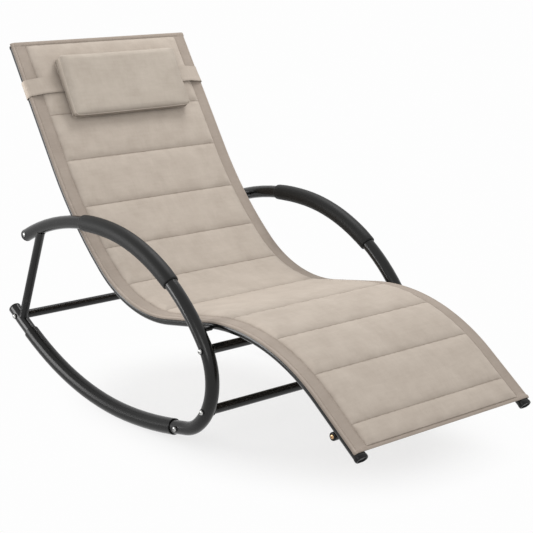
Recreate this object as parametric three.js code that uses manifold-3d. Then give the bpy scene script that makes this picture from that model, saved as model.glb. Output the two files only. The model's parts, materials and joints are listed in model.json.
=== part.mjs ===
// Rocking chaise lounge: a quilted sling on two S-bent rails, hung between two side loops that rock.
// Millimetres. +X points to the foot end, +Y to the sitter's left, +Z up.
import * as THREE from "three";
import { mergeVertices } from "three/addons/utils/BufferGeometryUtils.js";
import Module from "manifold-3d";

const wasm = await Module();
wasm.setup();

// Fits shared by every piece
const seatGap = 0.3; // between two pieces that touch
const holeGap = 0.3; // round a bolt in its hole
const cutOverrun = 6; // how far a cutting shape runs past what it cuts

// Side loops: round tube
const loopSpacing = 624; // between the centrelines of the two loops
const tubeDiameter = 32;
const tubeWall = 1.6;

// Rocker: flatter in front of its lowest stretch, tighter behind it, up to its rear end
const rockerLowX = -46; // the middle of its lowest stretch
const rockerFrontRadius = 1100;
const rockerLowRadius = 960;
const rockerRearRadius = 800;
const rockerRearAngle = 24;
const rockerTailRadius = 1100;
const rockerTailAngle = 8.2;
const rockerWall = 1.4;
const sleeveDiameter = 39; // the cover on the rocking length
const sleeveEndSetback = 2; // sleeve stops short of the front joint
const sleeveRearSetback = 88; // and of the rocker's rear end, along it

// Front joint: the rocker's reduced end slides into the arm tube
const spigotLength = 36;
const spigotDiameter = 25;
const spigotBore = 21;
const jointSlopeAngle = 10; // of the front joint, to the floor
const jointStraight = 40;
const jointBoltSetback = 20;

// Arm tube, from the front joint round and back to its rear end
const toeRadius = 98;
const toeAngle = 29;
const legRadius = 141;
const legAngle = 86;
const gripBendRadius = 482;
const gripBendAngle = 49.8;
const armRearRadius = 675;
const armRearAngle = 32;

// Foam grip
const gripStart = 470; // along the arm tube from the front joint
const gripLength = 358;
const gripDiameter = 41;
const gripEndDiameter = 38;
const gripLipDiameter = 33.6;
const gripTaper = 34;
const gripLip = 4; // length of the rounded lip at each end

// Rear posts
const postDiameter = 22;
const postWall = 1.2;
const postTopSetback = 76; // from the arm tube's rear end, along it
const postFootSetback = 41; // from the rocker's rear end, along it

// Crossbars
const crossbarDiameter = 22;
const crossbarWall = 1.4;
const insertLength = 30; // threaded insert at each end
const rearBarSetback = 27; // from the rocker's rear end, along it
const middleBarHeight = 244; // on the front legs
const lowerBarHeight = 104;
const boltShank = 8;
const boltHeadDiameter = 15;
const boltHeadHeight = 5;
const boltReach = 22; // into the insert

// Seat rails: flat-oval tube, S-bent
const railInset = 53; // from a loop's centreline in to its rail's
const railWidth = 32;
const railDepth = 20;
const railWall = 1.5;
const seatLowX = 12.7; // the lowest point of the seat
const seatLowHeight = 258.5; // of the rails' centreline above the floor
const backSlopeAngle = 58.1; // of the straight upper back, to the floor
const backStraight = 335;
const lumbarRadius = 985;
const lumbarAngle = 17.2;
const seatRadius = 329;
const seatAngle = 49.8;
const seatStraight = 145;
const kneeRadius = 475;
const kneeAngle = 46;
const footStraight = 149;
const railCapLength = 8;
const railPlugLength = 16;

// Spacers that carry the rails on the loops
const spacerDiameter = 14;
const spacerDrop = 4; // below the rail's centreline
const railBoltShank = 6;
const railBoltHead = 12;
const railBoltHeadHeight = 4;
const railBoltReach = 16;

// Spreader bars
const headBarDiameter = 16;
const spreaderWall = 1.4;
const headBarSetback = 14; // from the rails' head ends
const footBarDiameter = 19;
const footBarSetback = 72; // from the rails' foot ends
const footBarInset = 8; // short of the rails' outer faces
const footCapThickness = 4;
const footCapChamfer = 1.2;
const footCapStem = 12;
const footScrewShank = 4;
const footScrewHead = 10;
const footScrewHeadHeight = 2.6;

// Sling: base cloth over the rails with a quilted pad in the middle
const clothThickness = 2;
const padInset = 21; // from a rail's centreline in to the pad's edge
const padShoulder = 15; // how far in the pad reaches its full thickness
const padCrown = 9; // front of the pad above the cloth
const padBack = 5; // back of the pad below the cloth
const seamCrown = 2.4; // what is left of the pad on a seam
const headOverhang = 10; // cloth past the rails' head ends
const footSetback = 5; // cloth short of the rails' foot ends
const headHem = 12;
const footHem = 10;
const seamShares = [0.125, 0.205, 0.2875, 0.3667, 0.4445, 0.5437, 0.7006, 0.791, 0.8713, 0.9567];
const stitchGroove = 12; // how far from a seam the pad has most of its thickness

// Pillow and its elastic band
const pillowFromHead = 136; // its middle, along the rails
const pillowLength = 168; // along the back
const pillowWidth = 370;
const pillowThickness = 40; // along its upper edge
const pillowLowerThickness = 18; // along its lower edge
const pillowCrown = 3; // middle of its front above the front near the short sides
const pillowCorner = 10;
const pillowDraw = 5; // how much the long sides draw in at the short ones
const pillowNip = 8; // how much thinner the short sides are
const bandFromHead = 119;
const bandWidth = 46;
const bandThickness = 1.6;
const bandGap = 0.5;

// Small end caps and screws
const capDome = 9;
const capPlug = 18;
const capScrewSetback = 12;
const capScrewShank = 4;
const capScrewHead = 10;
const capScrewHeadHeight = 2.5;

// Facet counts
const roundSides = 16;
const barSides = 12;
const boreSides = 8;
const boltSides = 10;
const ovalSteps = 6; // on each round side of a rail
const bendStep = 10; // most degrees a tube turns between two stations
const pillowCornerSteps = 3;
const pillowSquareness = 8; // power of the pillow's fall towards its short sides
const rockerStep = 4; // likewise on the rocker, whose lowest stretch is one level step

// Shapes as shares of a piece's own sizes
const boltDomeShares = [[1, 0.3], [0.8, 0.75], [0.45, 1]]; // of the head's radius and height
const tubeCapShares = [[0.35, 1], [0.75, 0.78], [1, 0.4]]; // of the dome's length and the tube's radius
const railCapShares = [[0.45, 1], [0.85, 0.86], [1, 0.6]]; // of the cap's length and the rail's depth
const chamferShare = 0.25; // of a shank's radius
const plugOverlapShare = 0.3; // of a cap's length, how far its plug reaches into it
const footCapWallShare = 0.6; // of the cap's thickness, before its rim slopes in
const channelShares = [0, 0.1, 0.5, 0.9]; // rows of the pad from one seam to the next
const pillowRowShares = [-1, -0.97, -0.9, -0.7, -0.35, 0, 0.35, 0.7, 0.9, 0.97, 1];

const mergeDistance = 1e-4;
const degrees = Math.PI / 180;

// A run is a bent centreline in the side plane: straight lengths and arcs, each with its own stations.
// A turn is positive to the left of the heading.
function makeRun(start, heading, legs) {
  const stations = [stationAt(start.x, start.z, heading, 0)];
  for (const leg of legs) {
    const from = stations[stations.length - 1];
    const turn = (leg.turn ?? 0) * degrees;
    const count = leg.turn ? Math.ceil(Math.abs(leg.turn) / (leg.step ?? bendStep)) : 1;
    const length = leg.turn ? leg.radius * Math.abs(turn) : leg.straight;
    for (let k = 1; k <= count; k += 1) {
      const share = k / count;
      if (!leg.turn) {
        stations.push(alongHeading(from, length * share));
        continue;
      }
      const side = Math.sign(turn);
      const angle = from.heading + turn * share;
      const x = from.x + side * leg.radius * (Math.sin(angle) - Math.sin(from.heading));
      const z = from.z - side * leg.radius * (Math.cos(angle) - Math.cos(from.heading));
      stations.push(stationAt(x, z, angle, from.s + length * share));
    }
  }
  return stations;
}

function stationAt(x, z, heading, s) {
  return { x, z, heading, s, nx: -Math.sin(heading), nz: Math.cos(heading) };
}

function alongHeading(from, distance) {
  const x = from.x + distance * Math.cos(from.heading);
  const z = from.z + distance * Math.sin(from.heading);
  return stationAt(x, z, from.heading, from.s + distance);
}

// The station at a distance along a run, on the straight facet between its neighbours.
function pointOn(run, s) {
  const last = run[run.length - 1];
  if (s <= run[0].s) return alongHeading(run[0], s - run[0].s);
  if (s >= last.s) return alongHeading(last, s - last.s);
  const k = run.findIndex((station) => station.s >= s);
  const a = run[k - 1];
  const b = run[k];
  const share = (s - a.s) / (b.s - a.s);
  const mix = (key) => a[key] + (b[key] - a[key]) * share;
  return { x: mix("x"), z: mix("z"), heading: mix("heading"), s, nx: mix("nx"), nz: mix("nz") };
}

function runLength(run) {
  return run[run.length - 1].s;
}

// The stations of a run between two distances, with both ends and any further places asked for.
function stretchOf(run, from, to, further = []) {
  const inner = run.map((station) => station.s).filter((s) => s > from && s < to);
  const places = [from, ...inner, ...further, to].sort((a, b) => a - b);
  const apart = places.filter((s, k) => k === 0 || s - places[k - 1] > seatGap);
  return apart.map((s) => pointOn(run, s));
}

function moved(run, dx, dz) {
  return run.map((station) => ({ ...station, x: station.x + dx, z: station.z + dz }));
}

// Where two runs cross in the side view.
function crossings(runA, runB) {
  const found = [];
  for (let i = 1; i < runA.length; i += 1) {
    for (let j = 1; j < runB.length; j += 1) {
      const [a, b, c, d] = [runA[i - 1], runA[i], runB[j - 1], runB[j]];
      const [ux, uz, vx, vz] = [b.x - a.x, b.z - a.z, d.x - c.x, d.z - c.z];
      const cross = ux * vz - uz * vx;
      if (cross === 0) continue;
      const t = ((c.x - a.x) * vz - (c.z - a.z) * vx) / cross;
      const w = ((c.x - a.x) * uz - (c.z - a.z) * ux) / cross;
      if (t >= 0 && t < 1 && w >= 0 && w < 1) found.push(pointOn(runA, a.s + t * (b.s - a.s)));
    }
  }
  return found;
}

// Sections, counterclockwise, as [across, up] pairs.
function roundSection(radius, sides = roundSides) {
  const points = [];
  for (let k = 0; k < sides; k += 1) {
    const angle = ((k + 0.5) * 2 * Math.PI) / sides;
    points.push([radius * Math.cos(angle), radius * Math.sin(angle)]);
  }
  return points;
}

function arcPoints(centre, radius, fromDegrees, toDegrees, steps) {
  const points = [];
  for (let k = 0; k <= steps; k += 1) {
    const angle = (fromDegrees + ((toDegrees - fromDegrees) * k) / steps) * degrees;
    points.push([centre + radius * Math.cos(angle), radius * Math.sin(angle)]);
  }
  return points;
}

function ovalSection(width, depth, steps) {
  const flat = (width - depth) / 2;
  const right = arcPoints(flat, depth / 2, -90, 90, steps);
  const left = arcPoints(-flat, depth / 2, 90, 270, steps);
  return [...right, ...left];
}

function mirroredSection(half) {
  const other = half.map(([a, b]) => [-a, b]).reverse();
  return [...half, ...other];
}

// One closed body from sections in a row. place(k, a, b) puts a section's point in space.
function loft(sections, place, bores = null) {
  const positions = [];
  const triangles = [];
  const rows = sections.length;
  const addSkin = (list, inward) => {
    const first = positions.length / 3;
    const sides = list[0].length;
    list.forEach((section, k) => section.forEach(([a, b]) => positions.push(...place(k, a, b))));
    for (let k = 0; k + 1 < rows; k += 1) {
      for (let j = 0; j < sides; j += 1) {
        const p = first + k * sides + j;
        const q = first + k * sides + ((j + 1) % sides);
        const pair = [[p, q, q + sides], [p, q + sides, p + sides]];
        pair.forEach(([u, v, w]) => triangles.push(...(inward ? [u, w, v] : [u, v, w])));
      }
    }
    return first;
  };
  const outerFirst = addSkin(sections, false);
  const boreFirst = bores ? addSkin(bores, true) : 0;
  for (const k of [0, rows - 1]) {
    const contour = sections[k].map(([a, b]) => new THREE.Vector2(a, b));
    const hole = bores ? bores[k].map(([a, b]) => new THREE.Vector2(a, b)) : null;
    const all = hole ? [...contour, ...hole] : contour;
    const vertexOf = (j) => {
      if (j < contour.length) return outerFirst + k * contour.length + j;
      return boreFirst + k * hole.length + (j - contour.length);
    };
    for (const face of THREE.ShapeUtils.triangulateShape(contour, hole ? [hole] : [])) {
      const [u, v, w] = face.map((j) => all[j]);
      const area = (v.x - u.x) * (w.y - u.y) - (w.x - u.x) * (v.y - u.y);
      const facing = area > 0 ? face : [face[0], face[2], face[1]];
      const ordered = k === 0 ? [facing[0], facing[2], facing[1]] : facing;
      triangles.push(...ordered.map(vertexOf));
    }
  }
  const geometry = new THREE.BufferGeometry();
  geometry.setAttribute("position", new THREE.Float32BufferAttribute(positions, 3));
  geometry.setIndex(triangles);
  return closed(geometry);
}

// Sweeps a section along stations of a run, at a distance y from the middle plane.
function sweep(stations, y, section, bore = null) {
  const outlines = stations.map((station, k) => section(station.s, k));
  const bores = bore ? stations.map((station, k) => bore(station.s, k)) : null;
  const place = (k, a, b) => {
    const station = stations[k];
    return [station.x + b * station.nx, y + a, station.z + b * station.nz];
  };
  return loft(outlines, place, bores);
}

// Merges shared vertices, drops empty triangles and turns the faces outwards.
function closed(source) {
  const plain = source.clone();
  for (const name of ["normal", "uv"]) {
    if (plain.getAttribute(name)) plain.deleteAttribute(name);
  }
  const merged = mergeVertices(plain, mergeDistance);
  const position = merged.getAttribute("position");
  const corners = [...merged.getIndex().array];
  const kept = [];
  let volume = 0;
  const [a, b, c] = [new THREE.Vector3(), new THREE.Vector3(), new THREE.Vector3()];
  for (let k = 0; k < corners.length; k += 3) {
    const [u, v, w] = corners.slice(k, k + 3);
    if (u === v || v === w || u === w) continue;
    kept.push(u, v, w);
    a.fromBufferAttribute(position, u);
    b.fromBufferAttribute(position, v);
    c.fromBufferAttribute(position, w);
    volume += a.dot(b.cross(c));
  }
  if (volume < 0) {
    for (let k = 0; k < kept.length; k += 3) [kept[k + 1], kept[k + 2]] = [kept[k + 2], kept[k + 1]];
  }
  merged.setIndex(kept);
  return merged;
}

function toSolid(geometry) {
  const vertProperties = new Float32Array(geometry.getAttribute("position").array);
  const triVerts = new Uint32Array(geometry.getIndex().array);
  return new wasm.Manifold(new wasm.Mesh({ numProp: 3, vertProperties, triVerts }));
}

function toGeometry(solid) {
  const mesh = solid.getMesh();
  const geometry = new THREE.BufferGeometry();
  geometry.setAttribute("position", new THREE.Float32BufferAttribute(mesh.vertProperties, 3));
  geometry.setIndex([...mesh.triVerts]);
  return geometry;
}

function cut(geometry, ...tools) {
  const rest = tools.reduce((solid, tool) => solid.subtract(toSolid(tool)), toSolid(geometry));
  return toGeometry(rest);
}

function joined(geometry, ...others) {
  return toGeometry(others.reduce((solid, other) => solid.add(toSolid(other)), toSolid(geometry)));
}

// A turned piece whose axis lies along Y. The profile is a list of [radius, y] pairs.
function turned(profile, x, z, sides = boltSides) {
  const points = profile.map(([radius, y]) => new THREE.Vector2(radius, y));
  return closed(new THREE.LatheGeometry(points, sides)).translate(x, 0, z);
}

function rod(diameter, fromY, toY, x, z, sides = boltSides) {
  const radius = diameter / 2;
  return turned([[0, fromY], [radius, fromY], [radius, toY], [0, toY]], x, z, sides);
}

// A domed bolt along Y: its head stands on headY and its shank runs inwards by reach.
function bolt(head, height, shank, headY, reach, x, z) {
  const [rim, radius] = [head / 2, shank / 2];
  const tip = headY - reach;
  const chamfer = radius * chamferShare;
  const dome = boltDomeShares.map(([across, up]) => [rim * across, headY + height * up]);
  const stem = [[0, tip], [radius - chamfer, tip], [radius, tip + chamfer], [radius, headY]];
  return turned([...stem, [rim, headY], ...dome, [0, headY + height]], x, z);
}

function mirrored(geometry) {
  return closed(geometry.clone().scale(1, -1, 1));
}

// Centrelines
const rockerFromJoint = makeRun({ x: 0, z: 0 }, (180 + jointSlopeAngle) * degrees, [
  { radius: rockerFrontRadius, turn: rockerStep / 2 - jointSlopeAngle, step: rockerStep },
  { radius: rockerLowRadius, turn: -rockerStep, step: rockerStep },
  { radius: rockerRearRadius, turn: -rockerRearAngle, step: rockerStep },
  { radius: rockerTailRadius, turn: -rockerTailAngle },
]);
const rockerLowest = lowStretch(rockerFromJoint);
const rockerRun = moved(rockerFromJoint, rockerLowX - rockerLowest.x, sleeveDiameter / 2 - rockerLowest.z);
const joint = rockerRun[0];
const armRun = makeRun(joint, jointSlopeAngle * degrees, [
  { straight: jointStraight },
  { radius: toeRadius, turn: toeAngle },
  { radius: legRadius, turn: legAngle },
  { radius: gripBendRadius, turn: gripBendAngle },
  { radius: armRearRadius, turn: armRearAngle },
]);
const railLegs = [
  { straight: backStraight },
  { radius: lumbarRadius, turn: lumbarAngle },
  { radius: seatRadius, turn: seatAngle },
  { straight: seatStraight },
  { radius: kneeRadius, turn: -kneeAngle },
  { straight: footStraight },
];
const railFromHead = makeRun({ x: 0, z: 0 }, -backSlopeAngle * degrees, railLegs);
const seatLow = lowPoint(railFromHead);
const railRun = moved(railFromHead, seatLowX - seatLow.x, seatLowHeight - seatLow.z);
const armLength = runLength(armRun);
const rockerLength = runLength(rockerRun);
const railLength = runLength(railRun);
const sleeveEnd = rockerLength - sleeveRearSetback;

// The middle of the level step at the bottom of the rocker.
function lowStretch(run) {
  const k = run.findIndex((station) => station.heading < Math.PI);
  return { x: (run[k - 1].x + run[k].x) / 2, z: run[k].z };
}

// The bottom of the seat bend, where the heading passes through level.
function lowPoint(run) {
  const bendStart = pointOn(run, backStraight + lumbarRadius * lumbarAngle * degrees);
  const toLevel = -bendStart.heading;
  return {
    x: bendStart.x + seatRadius * Math.sin(toLevel),
    z: bendStart.z - seatRadius * (1 - Math.cos(toLevel)),
  };
}

// Sections shared by pieces that touch
const loopY = loopSpacing / 2;
const railY = loopY - railInset;
const tubeRadius = tubeDiameter / 2;
const tubeBore = tubeRadius - tubeWall;
const rockerBore = tubeRadius - rockerWall;
const tubeSection = () => roundSection(tubeRadius);
const saddleSection = () => roundSection(tubeRadius + seatGap);
const ovalStepAngle = 180 / ovalSteps;
const railSection = (grow = 0) => ovalSection(railWidth + 2 * grow, railDepth + 2 * grow, ovalSteps);
const railBoreSection = (grow = 0) =>
  ovalSection(railWidth - 2 * (railWall + grow), railDepth - 2 * (railWall + grow), ovalSteps / 2);

// Solid copies of the loops and rails, a seat gap larger, that shape what stands against them
const armSaddle = sweep(armRun, loopY, saddleSection);
const rockerSaddle = sweep(rockerRun, loopY, saddleSection);
const railSaddle = sweep(railRun, railY, () => railSection(seatGap));

// Places of the cross pieces
const atLeg = (height) => {
  const k = armRun.findIndex((station) => station.z >= height);
  const [a, b] = [armRun[k - 1], armRun[k]];
  return pointOn(armRun, a.s + ((height - a.z) / (b.z - a.z)) * (b.s - a.s));
};
const crossbarPlaces = {
  rear: pointOn(rockerRun, rockerLength - rearBarSetback),
  lower_front: atLeg(lowerBarHeight),
  middle: atLeg(middleBarHeight),
};
const jointBoltPlace = pointOn(armRun, jointBoltSetback);
const capScrewPlace = pointOn(armRun, armLength - capScrewSetback);
const lowRail = railRun.map((station) => ({
  ...station,
  x: station.x - spacerDrop * station.nx,
  z: station.z - spacerDrop * station.nz,
}));
const spacerPlaces = crossings(armRun, lowRail);

// Arm tube
function armTube() {
  const boltHoles = ["lower_front", "middle"].map((name) => {
    const { x, z } = crossbarPlaces[name];
    const reach = tubeRadius + cutOverrun;
    return rod(boltShank + 2 * holeGap, loopY - reach, loopY + reach, x, z);
  });
  const outside = loopY + tubeRadius + cutOverrun;
  const jointHole = rod(boltShank + 2 * holeGap, loopY, outside, jointBoltPlace.x, jointBoltPlace.z);
  const screwHole = rod(capScrewShank + 2 * holeGap, loopY, outside, capScrewPlace.x, capScrewPlace.z);
  const tube = sweep(armRun, loopY, tubeSection, () => roundSection(tubeBore, boreSides));
  return cut(tube, ...boltHoles, jointHole, screwHole);
}

// Rocker tube: its front end steps down to a spigot inside the arm tube
function rockerTube() {
  const front = rockerRun[0];
  const spigotEnd = { ...alongHeading(front, -spigotLength), s: -spigotLength };
  const shoulder = { ...alongHeading(front, seatGap), s: seatGap };
  const stations = [spigotEnd, shoulder, { ...shoulder }, ...rockerRun.slice(1)];
  const reduced = (k) => k <= 1;
  const outline = (s, k) => roundSection(reduced(k) ? spigotDiameter / 2 : tubeRadius);
  const bore = (s, k) => roundSection(k <= 2 ? spigotBore / 2 : rockerBore, boreSides);
  const tube = sweep(stations, loopY, outline, bore);
  const { x, z } = crossbarPlaces.rear;
  const reach = tubeRadius + cutOverrun;
  const barHole = rod(boltShank + 2 * holeGap, loopY - reach, loopY + reach, x, z);
  const outside = loopY + tubeRadius + cutOverrun;
  const jointHole = rod(boltShank + 2 * holeGap, loopY, outside, jointBoltPlace.x, jointBoltPlace.z);
  return cut(tube, barHole, jointHole);
}

function rockerSleeve() {
  const stations = stretchOf(rockerRun, sleeveEndSetback, sleeveEnd);
  return sweep(stations, loopY, () => roundSection(sleeveDiameter / 2), saddleSection);
}

function foamGrip() {
  const gripEnd = gripStart + gripLength;
  const further = [gripLip, gripTaper].flatMap((inset) => [gripStart + inset, gripEnd - inset]);
  const stations = stretchOf(armRun, gripStart, gripEnd, further);
  const radiusAt = (s) => {
    const inset = Math.min(s - gripStart, gripEnd - s);
    const swell = Math.sin((Math.min(inset / gripTaper, 1) * Math.PI) / 2);
    if (inset < gripLip / 2) return gripLipDiameter / 2;
    return (gripEndDiameter + (gripDiameter - gripEndDiameter) * swell) / 2;
  };
  return sweep(stations, loopY, (s) => roundSection(radiusAt(s)), saddleSection);
}

// A domed cap with a plug that sits in a tube's open end and follows its bend.
function tubeCap(run, bore) {
  const end = run[run.length - 1];
  const shoulder = alongHeading(end, capDome * plugOverlapShare);
  const domeStations = [alongHeading(end, seatGap)];
  const radii = [tubeRadius];
  for (const [along, across] of tubeCapShares) {
    domeStations.push(alongHeading(end, capDome * along));
    radii.push(tubeRadius * across);
  }
  const dome = sweep(domeStations, loopY, (s, k) => roundSection(radii[k]));
  const plugStations = [pointOn(run, end.s - capPlug), end, shoulder];
  const plug = sweep(plugStations, loopY, () => roundSection(bore - seatGap, boreSides));
  return joined(dome, plug);
}

function armCap() {
  const cap = tubeCap(armRun, tubeBore);
  const outside = loopY + tubeRadius + cutOverrun;
  return cut(cap, rod(capScrewShank + 2 * holeGap, loopY, outside, capScrewPlace.x, capScrewPlace.z));
}

// Rear post: a straight tube, shaped at both ends to the tubes that it is welded to
function rearPost() {
  const top = pointOn(armRun, armLength - postTopSetback);
  const foot = pointOn(rockerRun, rockerLength - postFootSetback);
  const heading = Math.atan2(top.z - foot.z, top.x - foot.x);
  const length = Math.hypot(top.x - foot.x, top.z - foot.z);
  const stations = makeRun(foot, heading, [{ straight: length }]);
  const outline = () => roundSection(postDiameter / 2, barSides);
  const bore = () => roundSection(postDiameter / 2 - postWall, boreSides);
  return cut(sweep(stations, loopY, outline, bore), armSaddle, rockerSaddle);
}

// Crossbar: a tube with a threaded insert in each end, shaped to the loops
function crossbar(place, saddle) {
  const radius = crossbarDiameter / 2;
  const inner = radius - crossbarWall;
  const hole = boltShank / 2 + holeGap;
  const end = loopY - tubeRadius / 2;
  const insert = loopY - tubeRadius - insertLength;
  const half = [[inner, insert], [hole, insert], [hole, end], [radius, end]];
  const other = half.map(([r, y]) => [r, -y]).reverse();
  const profile = [...half, ...other, half[0]];
  return cut(turned(profile, place.x, place.z, roundSides), saddle, mirrored(saddle));
}

function crossbarBolt(place) {
  const headY = loopY + tubeRadius + seatGap;
  const reach = tubeDiameter + seatGap + boltReach;
  return bolt(boltHeadDiameter, boltHeadHeight, boltShank, headY, reach, place.x, place.z);
}

// Rails
function seatRail() {
  const holes = spacerPlaces.map(({ x, z }) => {
    const reach = railWidth / 2 + cutOverrun;
    return rod(railBoltShank + 2 * holeGap, railY - reach, railY + reach, x, z);
  });
  return cut(sweep(railRun, railY, () => railSection(), () => railBoreSection()), ...holes);
}

function railCap(end, outwards) {
  const plugEnds = [-railPlugLength, railCapLength * plugOverlapShare];
  const plug = plugEnds.map((distance) => alongHeading(end, outwards * distance));
  const stations = [alongHeading(end, outwards * seatGap)];
  const depths = [railDepth];
  for (const [along, across] of railCapShares) {
    stations.push(alongHeading(end, outwards * railCapLength * along));
    depths.push(railDepth * across);
  }
  const shrunk = (s, k) => ovalSection(railWidth - railDepth + depths[k], depths[k], ovalSteps);
  const stem = sweep(plug, railY, () => railBoreSection(seatGap));
  return joined(sweep(stations, railY, shrunk), stem);
}

// Spacer between a loop and its rail, hollow for its bolt and shaped to both
function spacer(place) {
  const [radius, hole] = [spacerDiameter / 2, railBoltShank / 2 + holeGap];
  const profile = [[hole, railY], [radius, railY], [radius, loopY], [hole, loopY], [hole, railY]];
  return cut(turned(profile, place.x, place.z, barSides), railSaddle, armSaddle);
}

function railBolt(place) {
  const headY = -(railY - railWidth / 2 - seatGap);
  const reach = railWidth + seatGap + railBoltReach;
  const drawn = bolt(railBoltHead, railBoltHeadHeight, railBoltShank, headY, reach, place.x, place.z);
  return mirrored(drawn);
}

// Spreader bars: one between the rails inside the head hem, one under them near the foot
function headSpreader() {
  const place = pointOn(railRun, headBarSetback);
  const [radius, inner] = [headBarDiameter / 2, headBarDiameter / 2 - spreaderWall];
  const drop = clothThickness;
  const profile = [[inner, -railY], [radius, -railY], [radius, railY], [inner, railY], [inner, -railY]];
  const bar = turned(profile, place.x - drop * place.nx, place.z - drop * place.nz, barSides);
  return cut(bar, railSaddle, mirrored(railSaddle));
}

function footBarPlace() {
  const place = pointOn(railRun, railLength - footBarSetback);
  const drop = railDepth / 2 + seatGap + footBarDiameter / 2;
  return { x: place.x - drop * place.nx, z: place.z - drop * place.nz };
}

const footBarEnd = railY + railWidth / 2 - footBarInset;

function footSpreader() {
  const place = footBarPlace();
  const [radius, inner] = [footBarDiameter / 2, footBarDiameter / 2 - spreaderWall];
  const profile = [
    [inner, -footBarEnd], [radius, -footBarEnd], [radius, footBarEnd], [inner, footBarEnd],
    [inner, -footBarEnd],
  ];
  return turned(profile, place.x, place.z, roundSides);
}

function footSpreaderCap() {
  const place = footBarPlace();
  const stem = footBarDiameter / 2 - spreaderWall - seatGap;
  const rim = footBarDiameter / 2;
  const hole = footScrewShank / 2 + holeGap;
  const face = footBarEnd + seatGap;
  const profile = [
    [hole, face - footCapStem], [stem, face - footCapStem], [stem, face], [rim, face],
    [rim, face + footCapThickness * footCapWallShare], [rim - footCapChamfer, face + footCapThickness],
    [hole, face + footCapThickness], [hole, face - footCapStem],
  ];
  return turned(profile, place.x, place.z, barSides);
}

function footSpreaderScrew() {
  const place = footBarPlace();
  const headY = footBarEnd + seatGap + footCapThickness + seatGap;
  const reach = footCapThickness + footCapStem;
  return bolt(footScrewHead, footScrewHeadHeight, footScrewShank, headY, reach, place.x, place.z);
}

// Sling. Heights are above the rails' centreline, along its normal.
const clothUnder = railDepth / 2 + seatGap;
const clothTop = clothUnder + clothThickness;
const railFlat = railY + (railWidth - railDepth) / 2;
const padHalfWidth = railY - padInset;
const padTop = clothTop + padCrown;
const slingEnd = railLength - footSetback;
const seams = seamShares.map((share) => railLength * share);
const seamLines = [headHem - headOverhang, ...seams, slingEnd - footHem];

function slingSection(swell) {
  const front = clothTop + seamCrown + (padCrown - seamCrown) * swell;
  const back = clothUnder - padBack * swell;
  const inset = padHalfWidth - padShoulder;
  const half = [
    [inset, back], [padHalfWidth, clothUnder],
    ...arcPoints(railFlat, clothUnder, 90, ovalStepAngle, 2),
    ...arcPoints(railFlat, clothTop, ovalStepAngle, 90, 2),
    [padHalfWidth, clothTop], [inset, front],
  ];
  return mirroredSection(half);
}

// How full the pad is at a distance along the rails: none on hems and seams, one inside a channel.
function swellAt(s) {
  const k = seamLines.findIndex((line) => line >= s);
  if (k <= 0) return 0;
  const nearest = Math.min(s - seamLines[k - 1], seamLines[k] - s);
  const crown = Math.sin((Math.PI * (s - seamLines[k - 1])) / (seamLines[k] - seamLines[k - 1]));
  return (crown + Math.min(nearest / stitchGroove, 1)) / 2;
}

function sling() {
  const rows = [];
  for (let k = 1; k < seamLines.length; k += 1) {
    const [line, next] = [seamLines[k - 1], seamLines[k]];
    rows.push(...channelShares.map((share) => line + (next - line) * share));
  }
  const stations = stretchOf(railRun, -headOverhang, slingEnd, [...rows, slingEnd - footHem]);
  return sweep(stations, 0, (s) => slingSection(swellAt(s)));
}

// Pillow: rounded rectangles across its width, shorter and thinner towards the short sides
const bandTop = padTop + bandGap + bandThickness;

function pillow() {
  const middle = pointOn(railRun, pillowFromHead);
  const back = bandTop + seatGap;
  const outline = (share) => {
    const fall = Math.abs(share) ** pillowSquareness;
    const half = pillowLength / 2 - pillowDraw * fall;
    const upper = pillowThickness - pillowCrown * share * share - pillowNip * fall;
    const lower = upper * (pillowLowerThickness / pillowThickness);
    const corner = Math.min(pillowCorner, (lower - seatGap) / 2);
    const corners = [[half, 0], [half, lower], [-half, upper], [-half, 0]];
    return corners.flatMap(([along, height], k) => {
      const cx = along - Math.sign(along) * corner;
      const cy = height - (height > 0 ? corner : -corner);
      const points = [];
      for (let step = 0; step <= pillowCornerSteps; step += 1) {
        const angle = (-90 + 90 * k + (90 * step) / pillowCornerSteps) * degrees;
        points.push([cx + corner * Math.cos(angle), cy + corner * Math.sin(angle)]);
      }
      return points;
    });
  };
  const place = (k, a, b) => {
    const spot = alongHeading(middle, a);
    const height = back + b;
    const across = (pillowRowShares[k] * pillowWidth) / 2;
    return [spot.x + height * spot.nx, across, spot.z + height * spot.nz];
  };
  return loft(pillowRowShares.map(outline), place);
}

// Elastic band: one flat loop round both rails, over the sling and behind it
function band() {
  const outline = (grow) => {
    const below = railDepth / 2 + bandGap + grow;
    const above = clothTop + bandGap + grow;
    const half = [
      ...arcPoints(railFlat, below, -90, 0, 3),
      ...arcPoints(railFlat, above, ovalStepAngle, 90, 2),
      [padHalfWidth - padShoulder / 2, padTop + bandGap + grow],
    ];
    return mirroredSection(half);
  };
  const ends = [bandFromHead - bandWidth / 2, bandFromHead + bandWidth / 2];
  const stations = ends.map((s) => pointOn(railRun, s));
  return sweep(stations, 0, () => outline(bandThickness), () => outline(0));
}

// Colours and finish
const finish = (color, roughness, metalness) =>
  new THREE.MeshStandardMaterial({ color, roughness, metalness });
const graphite = finish(0x3c3d3f, 0.42, 0.55);
const blackPlastic = finish(0x1d1d1e, 0.6, 0);
const foam = finish(0x2b2b2c, 0.95, 0);
const beigeCloth = finish(0xb9ab9c, 0.9, 0);
const pillowCloth = finish(0xbcafa0, 0.92, 0);
const elastic = finish(0xb4a69a, 0.9, 0);
const brightSteel = finish(0xc9c9c6, 0.3, 0.9);
const brass = finish(0xb98d55, 0.35, 0.9);

const chair = new THREE.Group();

function add(name, geometry, material) {
  const mesh = new THREE.Mesh(geometry, material);
  mesh.name = name;
  chair.add(mesh);
}

function addPair(name, geometry, material) {
  add(`left_${name}`, geometry, material);
  add(`right_${name}`, mirrored(geometry), material);
}

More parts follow.
